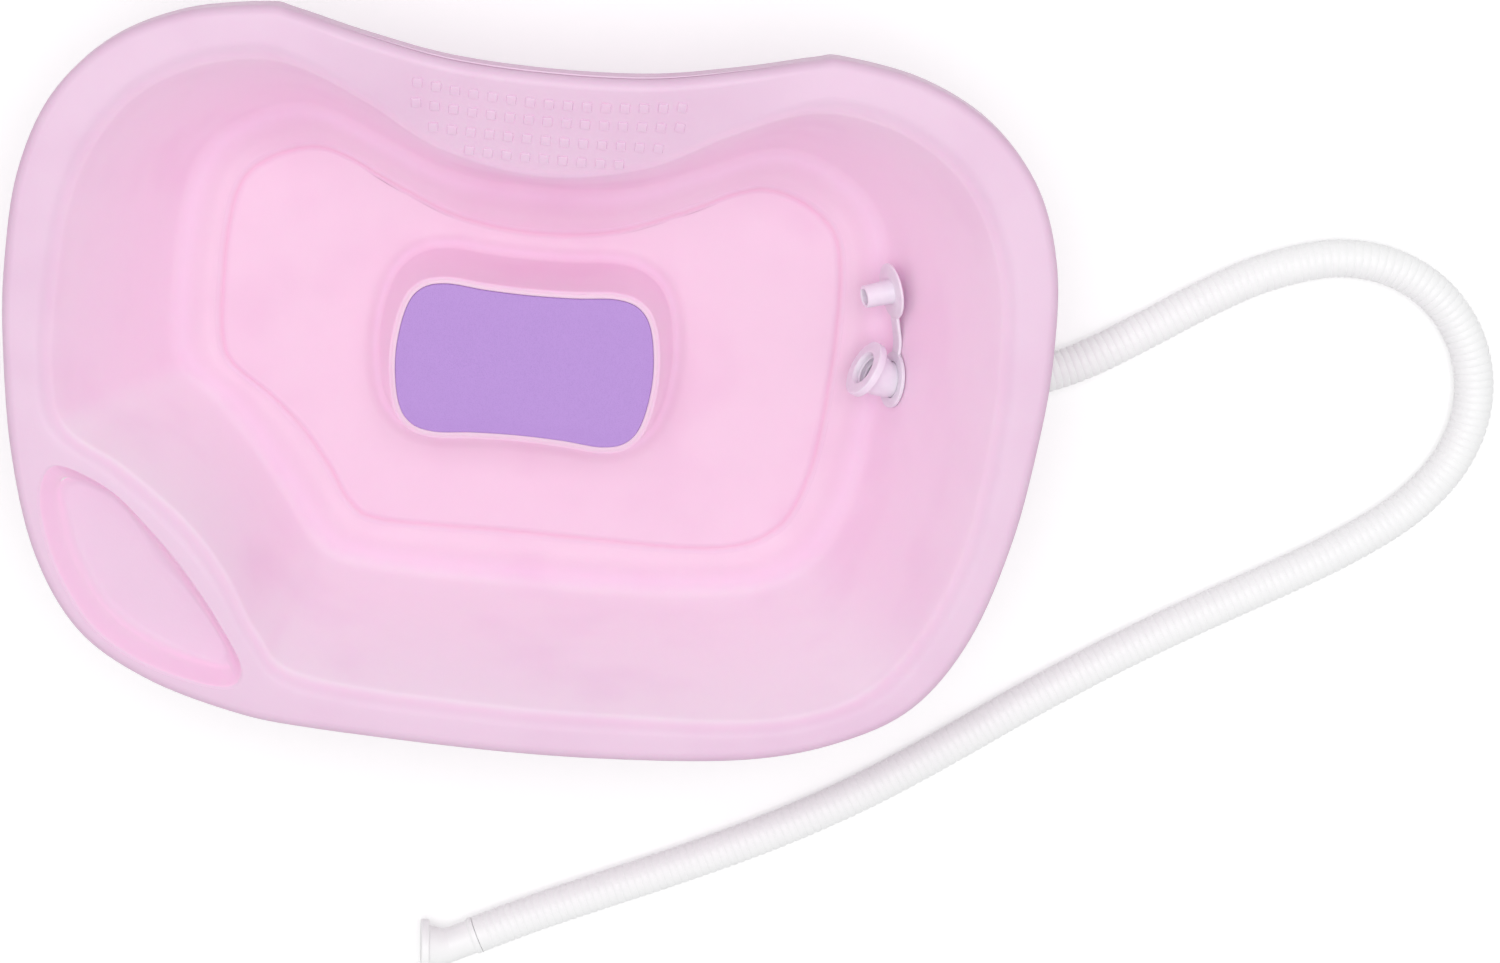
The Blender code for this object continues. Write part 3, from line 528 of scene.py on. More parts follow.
def skin_faces(model, rings, joined=False):
    """Skin rings of equally many points, closed at both ends unless they are joined in a circle."""
    skin = [[model.verts.new(point) for point in ring] for ring in rings]
    pairs = list(zip(skin, skin[1:]))
    if joined:
        pairs.append((skin[-1], skin[0]))
    for ring, following in pairs:
        for i in range(len(ring)):
            model.faces.new((ring[i - 1], ring[i], following[i], following[i - 1]))
    if not joined:
        model.faces.new(skin[0])
        model.faces.new(skin[-1])


def piece(name, model, finish):
    """Turn a model into a piece with a finish, shaded smoothly except over sharp edges."""
    bmesh.ops.recalc_face_normals(model, faces=model.faces)
    mesh = bpy.data.meshes.new(name)
    model.to_mesh(mesh)
    model.free()
    mesh.shade_smooth()
    mesh.set_sharp_from_angle(angle=math.radians(SHARP_ABOVE))
    mesh.materials.append(finish.material)
    made = bpy.data.objects.new(name, mesh)
    bpy.context.scene.collection.objects.link(made)
    return made


def skinned(name, rings, finish, place=None, joined=False):
    """Piece made of one skin over rings, which may be given in the frame of a place."""
    model = bmesh.new()
    skin_faces(model, rings, joined)
    if place:
        bmesh.ops.transform(model, matrix=place, verts=model.verts)
    return piece(name, model, finish)


def round_ring(centre, across, side, radius, sides):
    """Circle of points round a centre."""
    return [
        centre + (across * math.cos(turn) + side * math.sin(turn)) * radius
        for turn in (2 * math.pi * i / sides for i in range(sides))
    ]


def level_circle(height, radius, sides):
    """Circle of points round the Z axis at a height."""
    return round_ring(Vector((0, 0, height)), Vector((1, 0, 0)), Vector((0, 1, 0)), radius, sides)


def round_corner(first, second, radius, start):
    """Quarter circle of a profile round a centre, turning clockwise from a direction."""
    return [
        (first + radius * math.cos(turn), second + radius * math.sin(turn))
        for turn in (start - math.pi / 2 * i / CORNER_STEPS for i in range(CORNER_STEPS + 1))
    ]


def rounded_oblong(half_length, half_width, radius):
    """Outline of an oblong round the origin, with rounded corners."""
    outline = []
    for quadrant, (x, y) in enumerate(((1, 1), (-1, 1), (-1, -1), (1, -1))):
        centre = Vector((x * (half_length - radius), y * (half_width - radius), 0))
        for i in range(CORNER_STEPS + 1):
            turn = math.pi / 2 * (quadrant + i / CORNER_STEPS)
            outline.append(centre + Vector((math.cos(turn), math.sin(turn), 0)) * radius)
    return outline


def dress(made, body, node):
    """Let a piece ride on a body and take the place of a CAD node."""
    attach(made, body)
    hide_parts(node)


print("edges over", SHARP_ABOVE, "degrees stay sharp")

# %% [markdown]
# ## Where the drain is
# The CAD's first hinge lies on the bend of the stopper's strap, beside the drain, and its axis runs up the
# wall. From them follow the three directions at the drain, along the wall, down it and into the bowl, and
# its centre. Reading them from the joints keeps this file in step with the CAD.

# %% Drain frame
END_BEND = math.radians(22)
END_BEND_RADIUS = 0.020
END_BEND_START = 0.003
END_STRAIGHT = 0.012
END_LENGTH = 0.0370
CLEARANCE = 0.0003
STRAP_LEAN = math.radians(16)
STOPPER_REACH = 0.019
STRAP_FACE = 0.0025


def end_axis(distance):
    """Centre and direction of a bent hose end, so far back from its mouth, in the drain's frame."""
    arc = END_BEND_RADIUS * END_BEND
    if distance < END_STRAIGHT:
        angle = END_BEND
        ahead = END_STRAIGHT - distance
    else:
        angle = max(0, END_BEND - (distance - END_STRAIGHT) / END_BEND_RADIUS)
        ahead = 0
    below = max(0, distance - END_STRAIGHT - arc)
    centre = Vector((
        END_BEND_RADIUS * (1 - math.cos(angle)) + ahead * math.sin(angle),
        0,
        END_BEND_START + END_BEND_RADIUS * math.sin(angle) + ahead * math.cos(angle) - below,
    ))
    return centre, Vector((math.sin(angle), 0, math.cos(angle)))


mouth, mouth_tilt = end_axis(0)
lid = mouth + mouth_tilt * CLEARANCE
closed = math.pi - END_BEND
link_angle = (closed + STRAP_LEAN) / 2
strap_link = (lid.z - STRAP_FACE - STOPPER_REACH * math.sin(closed)) / math.sin(link_angle)
strap_start = lid.x - strap_link * math.cos(link_angle) - STOPPER_REACH * math.cos(closed)

hinges = {joint["name"]: joint for joint in frame["joints"]}
first_hinge = hinges["strap_fold_at_ring"]
up_wall = Vector(first_hinge["axis"]).normalized()
along_wall = Vector((-up_wall.y, up_wall.x, 0)).normalized()
into_bowl = along_wall.cross(-up_wall)
first_bend = Vector(first_hinge["pos_m"])
drain_centre = first_bend - along_wall * strap_start - into_bowl * STRAP_FACE
drain = Matrix.Translation(drain_centre) @ Matrix((along_wall, -up_wall, into_bowl)).transposed().to_4x4()
print("drain at", [round(part, 4) for part in drain_centre], "link", round(strap_link, 4))

# %% [markdown]
# ## The hose's course
# The hose leaves the wall squarely, drops to the table and comes back past the basin in one wide loop.
# It is a free cord, so its course is given by points along its middle, taken from the photo, and a soft
# curve joins them. The same points are in the CAD, where the hose has fewer and wider ribs.

# %% Course
HOSE_RADIUS = 0.0116
HOSE_ROUTE = [
    (0.2919, 0.0110, 0.0166), (0.3232, 0.0212, 0.0122), (0.3472, 0.0336, 0.0120),
    (0.3774, 0.0531, 0.0120), (0.4073, 0.0732, 0.0120), (0.4385, 0.0911, 0.0120),
    (0.4723, 0.1033, 0.0120), (0.4991, 0.1058, 0.0120), (0.5254, 0.1004, 0.0120),
    (0.5486, 0.0868, 0.0120), (0.5662, 0.0665, 0.0120), (0.5762, 0.0416, 0.0120),
    (0.5776, 0.0147, 0.0120), (0.5703, -0.0111, 0.0120), (0.5558, -0.0339, 0.0120),
    (0.5369, -0.0530, 0.0120), (0.5080, -0.0745, 0.0120), (0.4775, -0.0936, 0.0120),
    (0.4466, -0.1120, 0.0120), (0.4157, -0.1306, 0.0120), (0.3853, -0.1499, 0.0120),
    (0.3555, -0.1700, 0.0120), (0.3261, -0.1908, 0.0120), (0.2972, -0.2122, 0.0120),
    (0.2680, -0.2334, 0.0120), (0.2383, -0.2537, 0.0120), (0.2076, -0.2725, 0.0120),
    (0.1761, -0.2899, 0.0120), (0.1439, -0.3060, 0.0120), (0.1114, -0.3214, 0.0120),
    (0.0788, -0.3362, 0.0121), (0.0462, -0.3511, 0.0126), (0.0253, -0.3610, 0.0135),
    (0.0149, -0.3661, 0.01435), (0.0045, -0.3712, 0.0152),
]
PATH_STEPS = 12

inlet_end, inlet_heading = end_axis(END_LENGTH)
leave = drain @ (inlet_end - inlet_heading * CLEARANCE)
outward = -(drain.to_3x3() @ inlet_heading)
straight = leave + outward * HOSE_RADIUS * 2
course = [leave, leave.lerp(straight, 1 / 2), straight, *[Vector(point) for point in HOSE_ROUTE]]
hose_path = soft_path(course, PATH_STEPS)
hose_length = path_length(hose_path)
print("hose course", round(hose_length, 3), "m")

# %% [markdown]
# ## The ribbed hose
# A blown hose has round crests and narrow valleys about every four and a half millimetres. A straight ribbed
# tube could be bent along a curve by a modifier, which stretches the ribs in the loop. Here each ring is set
# square to the course instead, so that the ribs stay even, and the bore is skinned with the same rings.

# %% Ribbed hose
HOSE_VALLEY = 0.0110
HOSE_BORE = 0.0088
HOSE_PLAIN_END = 0.003
RIB_PITCH = 0.00465
RIB_SHAPE = [(0.00, 0.00), (0.13, 0.55), (0.30, 0.94), (0.50, 1.00), (0.70, 0.94), (0.87, 0.55)]
HOSE_SIDES = 36
BORE_STEP = 0.006

rib_count = round((hose_length - HOSE_PLAIN_END * 2) / RIB_PITCH)
pitch = (hose_length - HOSE_PLAIN_END * 2) / rib_count
stations = [(0, HOSE_RADIUS), (HOSE_PLAIN_END / 2, HOSE_RADIUS)]
for rib in range(rib_count):
    for share, crest in RIB_SHAPE:
        radius = HOSE_VALLEY + (HOSE_RADIUS - HOSE_VALLEY) * crest
        stations.append((HOSE_PLAIN_END + pitch * (rib + share), radius))
stations += [(hose_length - HOSE_PLAIN_END / 2, HOSE_RADIUS), (hose_length, HOSE_RADIUS)]


def tube_rings(path, distances, radii, sides):
    """Rings round a path, turned as little as can be from one to the next, and their centres."""
    centres = along(path, distances)
    side = Vector((0, 0, 1))
    rings = []
    for i, (centre, radius) in enumerate(zip(centres, radii)):
        heading = (centres[min(i + 1, len(centres) - 1)] - centres[max(i - 1, 0)]).normalized()
        side = (side - heading * side.dot(heading)).normalized()
        rings.append(round_ring(centre, heading.cross(side), side, radius, sides))
    return rings, centres


outer_rings, hose_line = tube_rings(hose_path, *zip(*stations), HOSE_SIDES)
bore_count = round(hose_length / BORE_STEP)
bore_places = [hose_length * i / bore_count for i in range(bore_count + 1)]
bore_rings, _ = tube_rings(hose_path, bore_places, [HOSE_BORE] * len(bore_places), HOSE_SIDES)
ribbed_hose = skinned("ribbed_hose", outer_rings + bore_rings[::-1], white, joined=True)
print(rib_count, "ribs,", round(pitch * 1000, 2), "mm apart")

# %% [markdown]
# ## The hose ends
# Both ends of the hose are the same soft elbow: a flange, a cone behind it, a waist that sits in the
# drain's ring and a cuff that takes the hose. One is pushed through the wall, the other lies free on the
# table. Its rings follow an axis that bends by 22 degrees, outside first and then back through the bore.

# %% Hose ends
END_FLANGE_RADIUS = 0.0174
END_FLANGE = 0.0050
END_EDGE = 0.0008
END_CONE_RADIUS = 0.0134
END_WAIST_RADIUS = 0.0106
END_CUFF_RADIUS = 0.0116
END_BORE_RADIUS = 0.0093
END_MOUTH_RADIUS = 0.0102
END_MOUTH_DEPTH = 0.0015
RIDGE_RISE = 0.0007
END_RIDGES = [
    (0.0086, 0), (0.0080, RIDGE_RISE), (0.0074, RIDGE_RISE), (0.0068, 0),
    (0.0052, 0), (0.0046, RIDGE_RISE), (0.0040, RIDGE_RISE), (0.0034, 0),
]
END_CONE_LENGTH = 0.0130
END_WAIST_LENGTH = 0.0140
END_FLARE_LENGTH = 0.0015
END_SIDES = 72
END_BEND_STEPS = 10


def end_stations():
    """Distance behind the mouth and radius, down the outside and back up the bore."""
    cone_start = END_FLANGE + END_EDGE
    cone_end = cone_start + END_CONE_LENGTH
    waist_end = cone_end + END_WAIST_LENGTH
    arc = END_BEND_RADIUS * END_BEND
    bend = [END_STRAIGHT + arc * i / END_BEND_STEPS for i in range(END_BEND_STEPS + 1)]
    slope = (END_WAIST_RADIUS - END_CONE_RADIUS) / END_CONE_LENGTH
    rim = END_FLANGE_RADIUS - END_EDGE
    return [
        *round_corner(END_EDGE, rim, END_EDGE, math.pi),
        *round_corner(END_FLANGE - END_EDGE, rim, END_EDGE, math.pi / 2),
        (END_FLANGE, END_CONE_RADIUS + END_EDGE * 2),
        (END_FLANGE + END_EDGE / 4, END_CONE_RADIUS + END_EDGE / 2),
        (cone_start, END_CONE_RADIUS),
        *[(at, END_CONE_RADIUS + slope * (at - cone_start)) for at in bend if at < cone_end],
        (cone_end, END_WAIST_RADIUS),
        *[(at, END_WAIST_RADIUS) for at in bend if at > cone_end],
        (waist_end, END_WAIST_RADIUS),
        (waist_end + END_FLARE_LENGTH / 2, (END_WAIST_RADIUS + END_CUFF_RADIUS) / 2),
        (waist_end + END_FLARE_LENGTH, END_CUFF_RADIUS),
        (END_LENGTH, END_CUFF_RADIUS),
        (END_LENGTH, END_BORE_RADIUS),
        *[(at, END_BORE_RADIUS) for at in reversed(bend)],
        *[(at, END_BORE_RADIUS - rise) for at, rise in END_RIDGES],
        (END_MOUTH_DEPTH, END_BORE_RADIUS + (END_MOUTH_RADIUS - END_BORE_RADIUS) / 4),
        (END_MOUTH_DEPTH / 2, END_MOUTH_RADIUS - (END_MOUTH_RADIUS - END_BORE_RADIUS) / 4),
        (0, END_MOUTH_RADIUS + END_EDGE / 2),
    ]


def hose_end(name, finish, place):
    """Elbow skinned over its stations."""
    side = Vector((0, 1, 0))
    rings = []
    for distance, radius in end_stations():
        centre, direction = end_axis(distance)
        rings.append(round_ring(centre, side.cross(direction), side, radius, END_SIDES))
    return skinned(name, rings, finish, place, joined=True)


heading = (hose_path[-1] - hose_path[-2]).normalized()
right_hand = heading.cross(Vector((0, 0, 1))).normalized()
outlet_frame = Matrix((right_hand, heading.cross(right_hand), heading)).transposed().to_4x4()
outlet_place = (
    Matrix.Translation(hose_path[-1] + heading * CLEARANCE) @ outlet_frame @ Matrix.Translation(-inlet_end)
)
hose_inlet_end = hose_end("hose_inlet_end", milk, drain)
hose_outlet_end = hose_end("hose_outlet_end", white, outlet_place)
print("two elbows with", len(hose_inlet_end.data.polygons), "faces each")

# %% [markdown]
# Each piece rides on a body of the model and takes the place of a CAD node.

# %% Hose in the frame
for made, node, slot in (
    (ribbed_hose, "drain_hose", "white_hose_plastic"),
    (hose_inlet_end, "hose_inlet", "milky_soft_plastic"),
    (hose_outlet_end, "hose_outlet", "white_hose_plastic"),
):
    dress(made, "basin", node)

# %% [markdown]
# ## The basin's plan
# Seen from above the basin has three lines: its outer edge, the inner edge of its rim and the crease round
# its floor. They are given as shares of half the length and half the width, row by row from the neck rest to
# the foot end, just as in the CAD. The last number says how far the rim dips there for the neck.

# %% Plan of the basin
LENGTH = 0.590
WIDTH = 0.412
HEIGHT = 0.180
WALL = 0.0025
NECK_OUTER_DROP = 0.008
NECK_INNER_DROP = 0.028
RIM_FALL = 0.0010
FLOOR_STEP = 0.0008
LOOP_STEPS = 8

RIGHT_SHARES = [
    ((0.000, 0.893), (0.000, 0.597), (0.000, 0.374), 1.00),
    ((0.190, 0.905), (0.193, 0.646), (0.156, 0.398), 0.88),
    ((0.356, 0.947), (0.339, 0.757), (0.298, 0.476), 0.48),
    ((0.485, 0.990), (0.458, 0.835), (0.400, 0.544), 0.12),
    ((0.542, 1.000), (0.553, 0.854), (0.468, 0.566), 0.00),
    ((0.695, 0.961), (0.671, 0.816), (0.542, 0.539), 0.00),
    ((0.831, 0.864), (0.780, 0.718), (0.603, 0.481), 0.00),
    ((0.932, 0.704), (0.851, 0.573), (0.634, 0.408), 0.00),
    ((0.986, 0.490), (0.888, 0.413), (0.647, 0.301), 0.00),
    ((1.000, 0.243), (0.902, 0.218), (0.651, 0.175), 0.00),
    ((0.993, 0.024), (0.902, 0.015), (0.649, 0.010), 0.00),
    ((0.966, -0.267), (0.881, -0.277), (0.634, -0.243), 0.00),
    ((0.908, -0.553), (0.824, -0.524), (0.597, -0.417), 0.00),
    ((0.814, -0.762), (0.736, -0.714), (0.542, -0.505), 0.00),
    ((0.678, -0.883), (0.614, -0.811), (0.468, -0.549), 0.00),
    ((0.508, -0.956), (0.468, -0.854), (0.359, -0.566), 0.00),
    ((0.271, -0.990), (0.244, -0.869), (0.197, -0.568), 0.00),
    ((0.000, -1.000), (0.000, -0.874), (0.000, -0.566), 0.00),
]
TRAY_SIDE_SHARES = {
    10: ((0.993, 0.024), (0.902, -0.029), (0.646, -0.019), 0.00),
    11: ((0.966, -0.267), (0.868, -0.194), (0.620, -0.117), 0.00),
    12: ((0.908, -0.553), (0.753, -0.291), (0.536, -0.204), 0.00),
    13: ((0.814, -0.762), (0.624, -0.427), (0.461, -0.301), 0.00),
    14: ((0.678, -0.883), (0.536, -0.568), (0.397, -0.413), 0.00),
    15: ((0.508, -0.956), (0.464, -0.733), (0.342, -0.524), 0.00),
    16: ((0.356, -0.983), (0.366, -0.840), (0.264, -0.566), 0.00),
}


def on_plan(pair):
    """Point on the ground from shares of half the length and half the width."""
    return Vector((pair[0] * LENGTH / 2, pair[1] * WIDTH / 2, 0))


last = len(RIGHT_SHARES) - 1
rows = [(1, row) for row in RIGHT_SHARES]
rows += [(-1, TRAY_SIDE_SHARES.get(i, RIGHT_SHARES[i])) for i in range(last - 1, 0, -1)]
plan = []
for side, (outer, rim, crease, drop) in rows:
    points = [on_plan((side * pair[0], pair[1])) for pair in (outer, rim, crease)]
    points[0].z = HEIGHT - NECK_OUTER_DROP * drop
    points[1].z = HEIGHT - RIM_FALL - NECK_INNER_DROP * drop
    points[2].z = WALL + FLOOR_STEP
    plan.append(points)
outer_line, rim_line, crease_line = (soft_loop([row[i] for row in plan], LOOP_STEPS) for i in range(3))
print(len(outer_line), "sections round the basin")

# %% [markdown]
# ## One section through the wall
# A section starts at the foot of the turned-down skirt, rounds over the rim, rolls down the wall and ends in
# a wide curve at the floor. Two marks of the mould are too fine for the CAD: a narrow ledge on the skirt
# along the neck rest, which catches the light as a thin line, and the shallow groove round the floor.

# %% Section
SKIRT_HEIGHT = 0.024
SKIRT_LEAN = 0.0015
NECK_EXTRA_LEAN = 0.0008
NECK_LEDGE = 0.0011
LEDGE_ROUND = 0.0004
RIM_EDGE_RADIUS = 0.006
LIP_RADIUS = 0.012
FLOOR_FILLET = 0.028
ARC_STEPS = 8
RIM_STOPS = 3
WALL_STOPS = 5
GROOVE = [(0.0009, 0.0029), (0.0022, 0.0021), (0.0037, 0.0016), (0.0052, 0.0020), (0.0066, 0.0025)]


def wall_foot(rim, crease):
    """Where the straight wall would meet the floor, so that its curve ends on the crease."""
    outward = Vector((rim.x - crease.x, rim.y - crease.y, 0))
    rise = rim.z - crease.z - FLOOR_FILLET
    touch = math.atan2(rise, outward.length) - math.acos(FLOOR_FILLET / math.hypot(outward.length, rise))
    return crease + outward.normalized() * FLOOR_FILLET * math.tan((touch + math.pi / 2) / 2)


def section(outer, rim, crease, moulded):
    """Points of a section from the skirt's foot to the crease, with the mould's ledge or without."""
    share = (HEIGHT - outer.z) / NECK_OUTER_DROP if moulded else 0
    inward = Vector((rim.x - outer.x, rim.y - outer.y, 0)).normalized()
    foot = Vector((outer.x, outer.y, HEIGHT - SKIRT_HEIGHT))
    lean = SKIRT_LEAN + NECK_EXTRA_LEAN * share
    ledge = NECK_LEDGE * share
    ledge_z = outer.z - RIM_EDGE_RADIUS - LEDGE_ROUND * 2
    back = lean * (ledge_z - foot.z) / (outer.z - foot.z)
    soft = LEDGE_ROUND * share / 2
    skirt = [
        Vector((outer.x, outer.y, height)) + inward * shift
        for shift, height in (
            (back - soft / 4, ledge_z - LEDGE_ROUND),
            (back + soft, ledge_z),
            (back + ledge - soft, ledge_z + LEDGE_ROUND / 4),
            (back + ledge, ledge_z + LEDGE_ROUND),
        )
    ]
    edge = outer + inward * (lean + ledge)
    base = wall_foot(rim, crease)
    over = fillet(foot + inward * ledge, edge, rim, RIM_EDGE_RADIUS, ARC_STEPS)
    lip = fillet(edge, rim, base, LIP_RADIUS, ARC_STEPS)
    floor = fillet(rim, base, crease, FLOOR_FILLET, ARC_STEPS)
    upper = [*over, *stops(over[-1], lip[0], RIM_STOPS), *lip, *stops(lip[-1], floor[0], WALL_STOPS), *floor]
    return [foot, *(skirt if moulded else []), *upper]


def floor_inward(rim, crease):
    """Level direction from the crease towards the middle of the floor."""
    return Vector((crease.x - rim.x, crease.y - rim.y, 0)).normalized()


lines = list(zip(outer_line, rim_line, crease_line))
moulded_sections = []
for outer, rim, crease in lines:
    ahead = floor_inward(rim, crease)
    groove = [Vector((crease.x, crease.y, height)) + ahead * run for run, height in GROOVE]
    moulded_sections.append([*section(outer, rim, crease, True), *groove])
top_rings = [list(ring) for ring in zip(*moulded_sections)]
plain_rings = [list(ring) for ring in zip(*(section(*line, False) for line in lines))]
print(len(top_rings), "rings over the top,", len(plain_rings), "below")

# %% [markdown]
# ## The head block
# The block under the head is moulded with the floor and hollow from below. Its outline follows the pad's, an
# oblong whose long sides draw in. Its rings carry on from the floor's rings, point for point, and are found
# where a line from the middle through each point meets the outline. A union would leave ragged shading.

# %% Head block rings
PAD_LENGTH = 0.152
PAD_WIDTH = 0.088
PAD_CENTRE = Vector((0, 0.003, 0))
PAD_RECESS = 0.0036
PAD_QUARTER_SHARES = [
    (0.00, 0.945), (0.35, 0.962), (0.66, 1.000), (0.85, 0.900), (0.955, 0.600), (1.00, 0.000),
]
OUTLINE_STEPS = 12
BLOCK_HEIGHT = 0.0755
BLOCK_LIP = 0.0042
BLOCK_EDGE = 0.0030
BLOCK_DRAFT = math.radians(6.5)
BLOCK_FOOT_RADIUS = 0.011
RECESS_EDGE = 0.0005
BLOCK_STOPS = 3
FLOOR_STOPS = (0.02, 0.08, 0.25, 0.50, 0.75, 0.92, 0.98)

right_half = PAD_QUARTER_SHARES + [(x, -y) for x, y in reversed(PAD_QUARTER_SHARES[:-1])]
left_half = [(-x, y) for x, y in reversed(right_half[1:-1])]
pad_points = [
    Vector((x * PAD_LENGTH / 2, y * PAD_WIDTH / 2, 0)) + PAD_CENTRE for x, y in right_half + left_half
]
pad_outline = soft_loop(pad_points, OUTLINE_STEPS)


def facing(point):
    """Where the line from the pad's middle through a point meets the pad's outline."""
    ray = Vector((point.x, point.y, 0)) - PAD_CENTRE
    for start, end in zip(pad_outline, pad_outline[1:] + pad_outline[:1]):
        leg = end - start
        turn = ray.x * leg.y - ray.y * leg.x
        if turn == 0:
            continue
        offset = start - PAD_CENTRE
        share = (offset.x * ray.y - offset.y * ray.x) / turn
        reach = (offset.x * leg.y - offset.y * leg.x) / turn
        if 0 <= share < 1 and reach > 0:
            return start.lerp(end, share)
    raise ValueError("the pad's outline does not go round its middle")


pad_facing = [facing(point) for point in crease_line]
block_top = grow(pad_facing, CLEARANCE + BLOCK_LIP)
block_foot = grow(block_top, (BLOCK_HEIGHT - WALL) * math.tan(BLOCK_DRAFT))
recess = grow(pad_facing, CLEARANCE)
recess_z = BLOCK_HEIGHT - PAD_RECESS
quarter = [math.pi / 2 * i / ARC_STEPS for i in range(ARC_STEPS + 1)]


def bend(ring, height, reach, rise, level_first=True):
    """Rings over a quarter turn, between level at a height, so far out, and upright on the ring itself."""
    turns = [(1 - math.sin(turn), 1 - math.cos(turn)) for turn in quarter]
    if not level_first:
        turns = [(up, out) for out, up in turns]
    return [at_height(grow(ring, reach * out), height + rise * up) for out, up in turns]


block_rings = bend(block_foot, WALL, BLOCK_FOOT_RADIUS, BLOCK_FOOT_RADIUS)
floor_rings = [
    [start.lerp(end, share) for start, end in zip(top_rings[-1], block_rings[0])] for share in FLOOR_STOPS
]
side_top = at_height(block_top, BLOCK_HEIGHT - BLOCK_EDGE)
block_rings += [
    [low.lerp(high, (i + 1) / (BLOCK_STOPS + 1)) for low, high in zip(block_rings[-1], side_top)]
    for i in range(BLOCK_STOPS)
]
block_rings += bend(block_top, BLOCK_HEIGHT, -BLOCK_EDGE, -BLOCK_EDGE, level_first=False)
block_rings += bend(recess, BLOCK_HEIGHT, RECESS_EDGE, -RECESS_EDGE)
block_rings.append(at_height(recess, recess_z))
print(len(block_rings), "rings up the block and into its recess")

# %% [markdown]
# ## The underside
# The real wall is two and a half millimetres thick everywhere. Solidify would do that, but in the narrow lip
# round the pad the offset skins would cross. So the rings below are set square to the plain surface one by
# one, and the block's hollow gets rings of its own.

# %% Rings of the underside
HOLLOW_EDGE = 0.0010
FOOT_ROUND = [(0.10, 0.00025), (0.32, 0.0), (0.68, 0.0), (0.90, 0.00025)]


def set_back(rings, distance):
    """Rings moved to the underside of the surface that they make, square to it."""
    count = len(rings[0])
    moved = []
    for k, ring in enumerate(rings):
        before, after = rings[max(k - 1, 0)], rings[min(k + 1, len(rings) - 1)]
        moved.append([
            point + (ring[(i + 1) % count] - ring[i - 1]).cross(after[i] - before[i]).normalized() * distance
            for i, point in enumerate(ring)
        ])
    return moved


under_rings = [
    [Vector((point.x, point.y, max(point.z, 0))) for point in ring] for ring in set_back(plain_rings, WALL)
]
skirt_foot, inner_foot = top_rings[0], under_rings[0]
skirt_z = HEIGHT - SKIRT_HEIGHT
foot_rings = [
    at_height([start.lerp(end, share) for start, end in zip(skirt_foot, inner_foot)], skirt_z + rise)
    for share, rise in FOOT_ROUND
]
top_rings[0] = at_height(skirt_foot, skirt_z + LEDGE_ROUND * 2)
under_rings[0] = at_height(inner_foot, skirt_z + LEDGE_ROUND * 2)
hollow_rings = [
    at_height(crease_line, 0),
    at_height(grow(block_foot, -WALL + HOLLOW_EDGE), 0),
    at_height(grow(block_foot, -WALL), HOLLOW_EDGE),
    at_height(grow(block_top, -WALL), recess_z - WALL - HOLLOW_EDGE),
    at_height(grow(block_top, -WALL - HOLLOW_EDGE), recess_z - WALL),
]
shell_rings = [*reversed(top_rings + floor_rings + block_rings), *foot_rings, *under_rings, *hollow_rings]
print(len(shell_rings), "rings in all,", "underside from", round(min(p.z for r in shell_rings for p in r), 4))

# %% [markdown]
# ## The corner tray
# The shallow tray for a comb or clips is pressed into the rim's widest corner. It is cut with one tool that
# has the tray's soft floor and its rounded mouth, and a slightly larger body is joined on first, below the
# rim, so that the tray keeps its wall. Booleans suit it, as the rim is nearly flat there.

# %% Tray tools
OVERRUN = 0.004
TRAY_DEPTH = 0.015
TRAY_FLOOR_RADIUS = 0.003
TRAY_MOUTH_ROUND = 0.003
TRAY_SWEEP_RADIUS = 0.011
TRAY_MOUTH_SHARES = [
    (-0.858, -0.301), (-0.766, -0.357), (-0.690, -0.450), (-0.615, -0.563),
    (-0.541, -0.697), (-0.488, -0.825), (-0.522, -0.879), (-0.658, -0.840),
    (-0.773, -0.748), (-0.854, -0.592), (-0.895, -0.427), (-0.892, -0.330),
]
TRAY_FLOOR_SHARES = [
    (-0.831, -0.350), (-0.759, -0.374), (-0.688, -0.466), (-0.617, -0.578),
    (-0.549, -0.709), (-0.515, -0.806), (-0.542, -0.835), (-0.651, -0.791),
    (-0.753, -0.704), (-0.824, -0.563), (-0.858, -0.427), (-0.861, -0.369),
]

mouth_ring = soft_loop([on_plan(pair) for pair in TRAY_MOUTH_SHARES], LOOP_STEPS)
floor_ring = soft_loop([on_plan(pair) for pair in TRAY_FLOOR_SHARES], LOOP_STEPS)
tray_floor_z = HEIGHT - TRAY_DEPTH
bury = (WALL + RIM_FALL) / 2
rim_level = HEIGHT - RIM_FALL / 2

body_rings = [
    at_height(grow(mouth_ring, WALL), HEIGHT - bury),
    *[
        at_height(
            grow(floor_ring, WALL - TRAY_FLOOR_RADIUS * (1 - math.cos(turn))),
            tray_floor_z + TRAY_FLOOR_RADIUS - (TRAY_FLOOR_RADIUS + WALL) * math.sin(turn),
        )
        for turn in quarter
    ],
]
tray_middle = sum(floor_ring, Vector()) / len(floor_ring) + Vector((0, 0, tray_floor_z))
pocket_sections = []
for mouth, low in zip(mouth_ring, floor_ring):
    brim = Vector((mouth.x, mouth.y, rim_level))
    foot = Vector((low.x, low.y, tray_floor_z))
    beside = brim + (brim - Vector((tray_middle.x, tray_middle.y, rim_level))).normalized() * OVERRUN
    roll = fillet(beside, brim, foot, TRAY_MOUTH_ROUND, ARC_STEPS)
    sweep = fillet(brim, foot, tray_middle, TRAY_SWEEP_RADIUS, ARC_STEPS)
    above = Vector((roll[0].x, roll[0].y, HEIGHT + OVERRUN))
    pocket_sections.append([above, *roll, *sweep, sweep[-1].lerp(tray_middle, 0.5)])
pocket_rings = [list(ring) for ring in zip(*pocket_sections)]
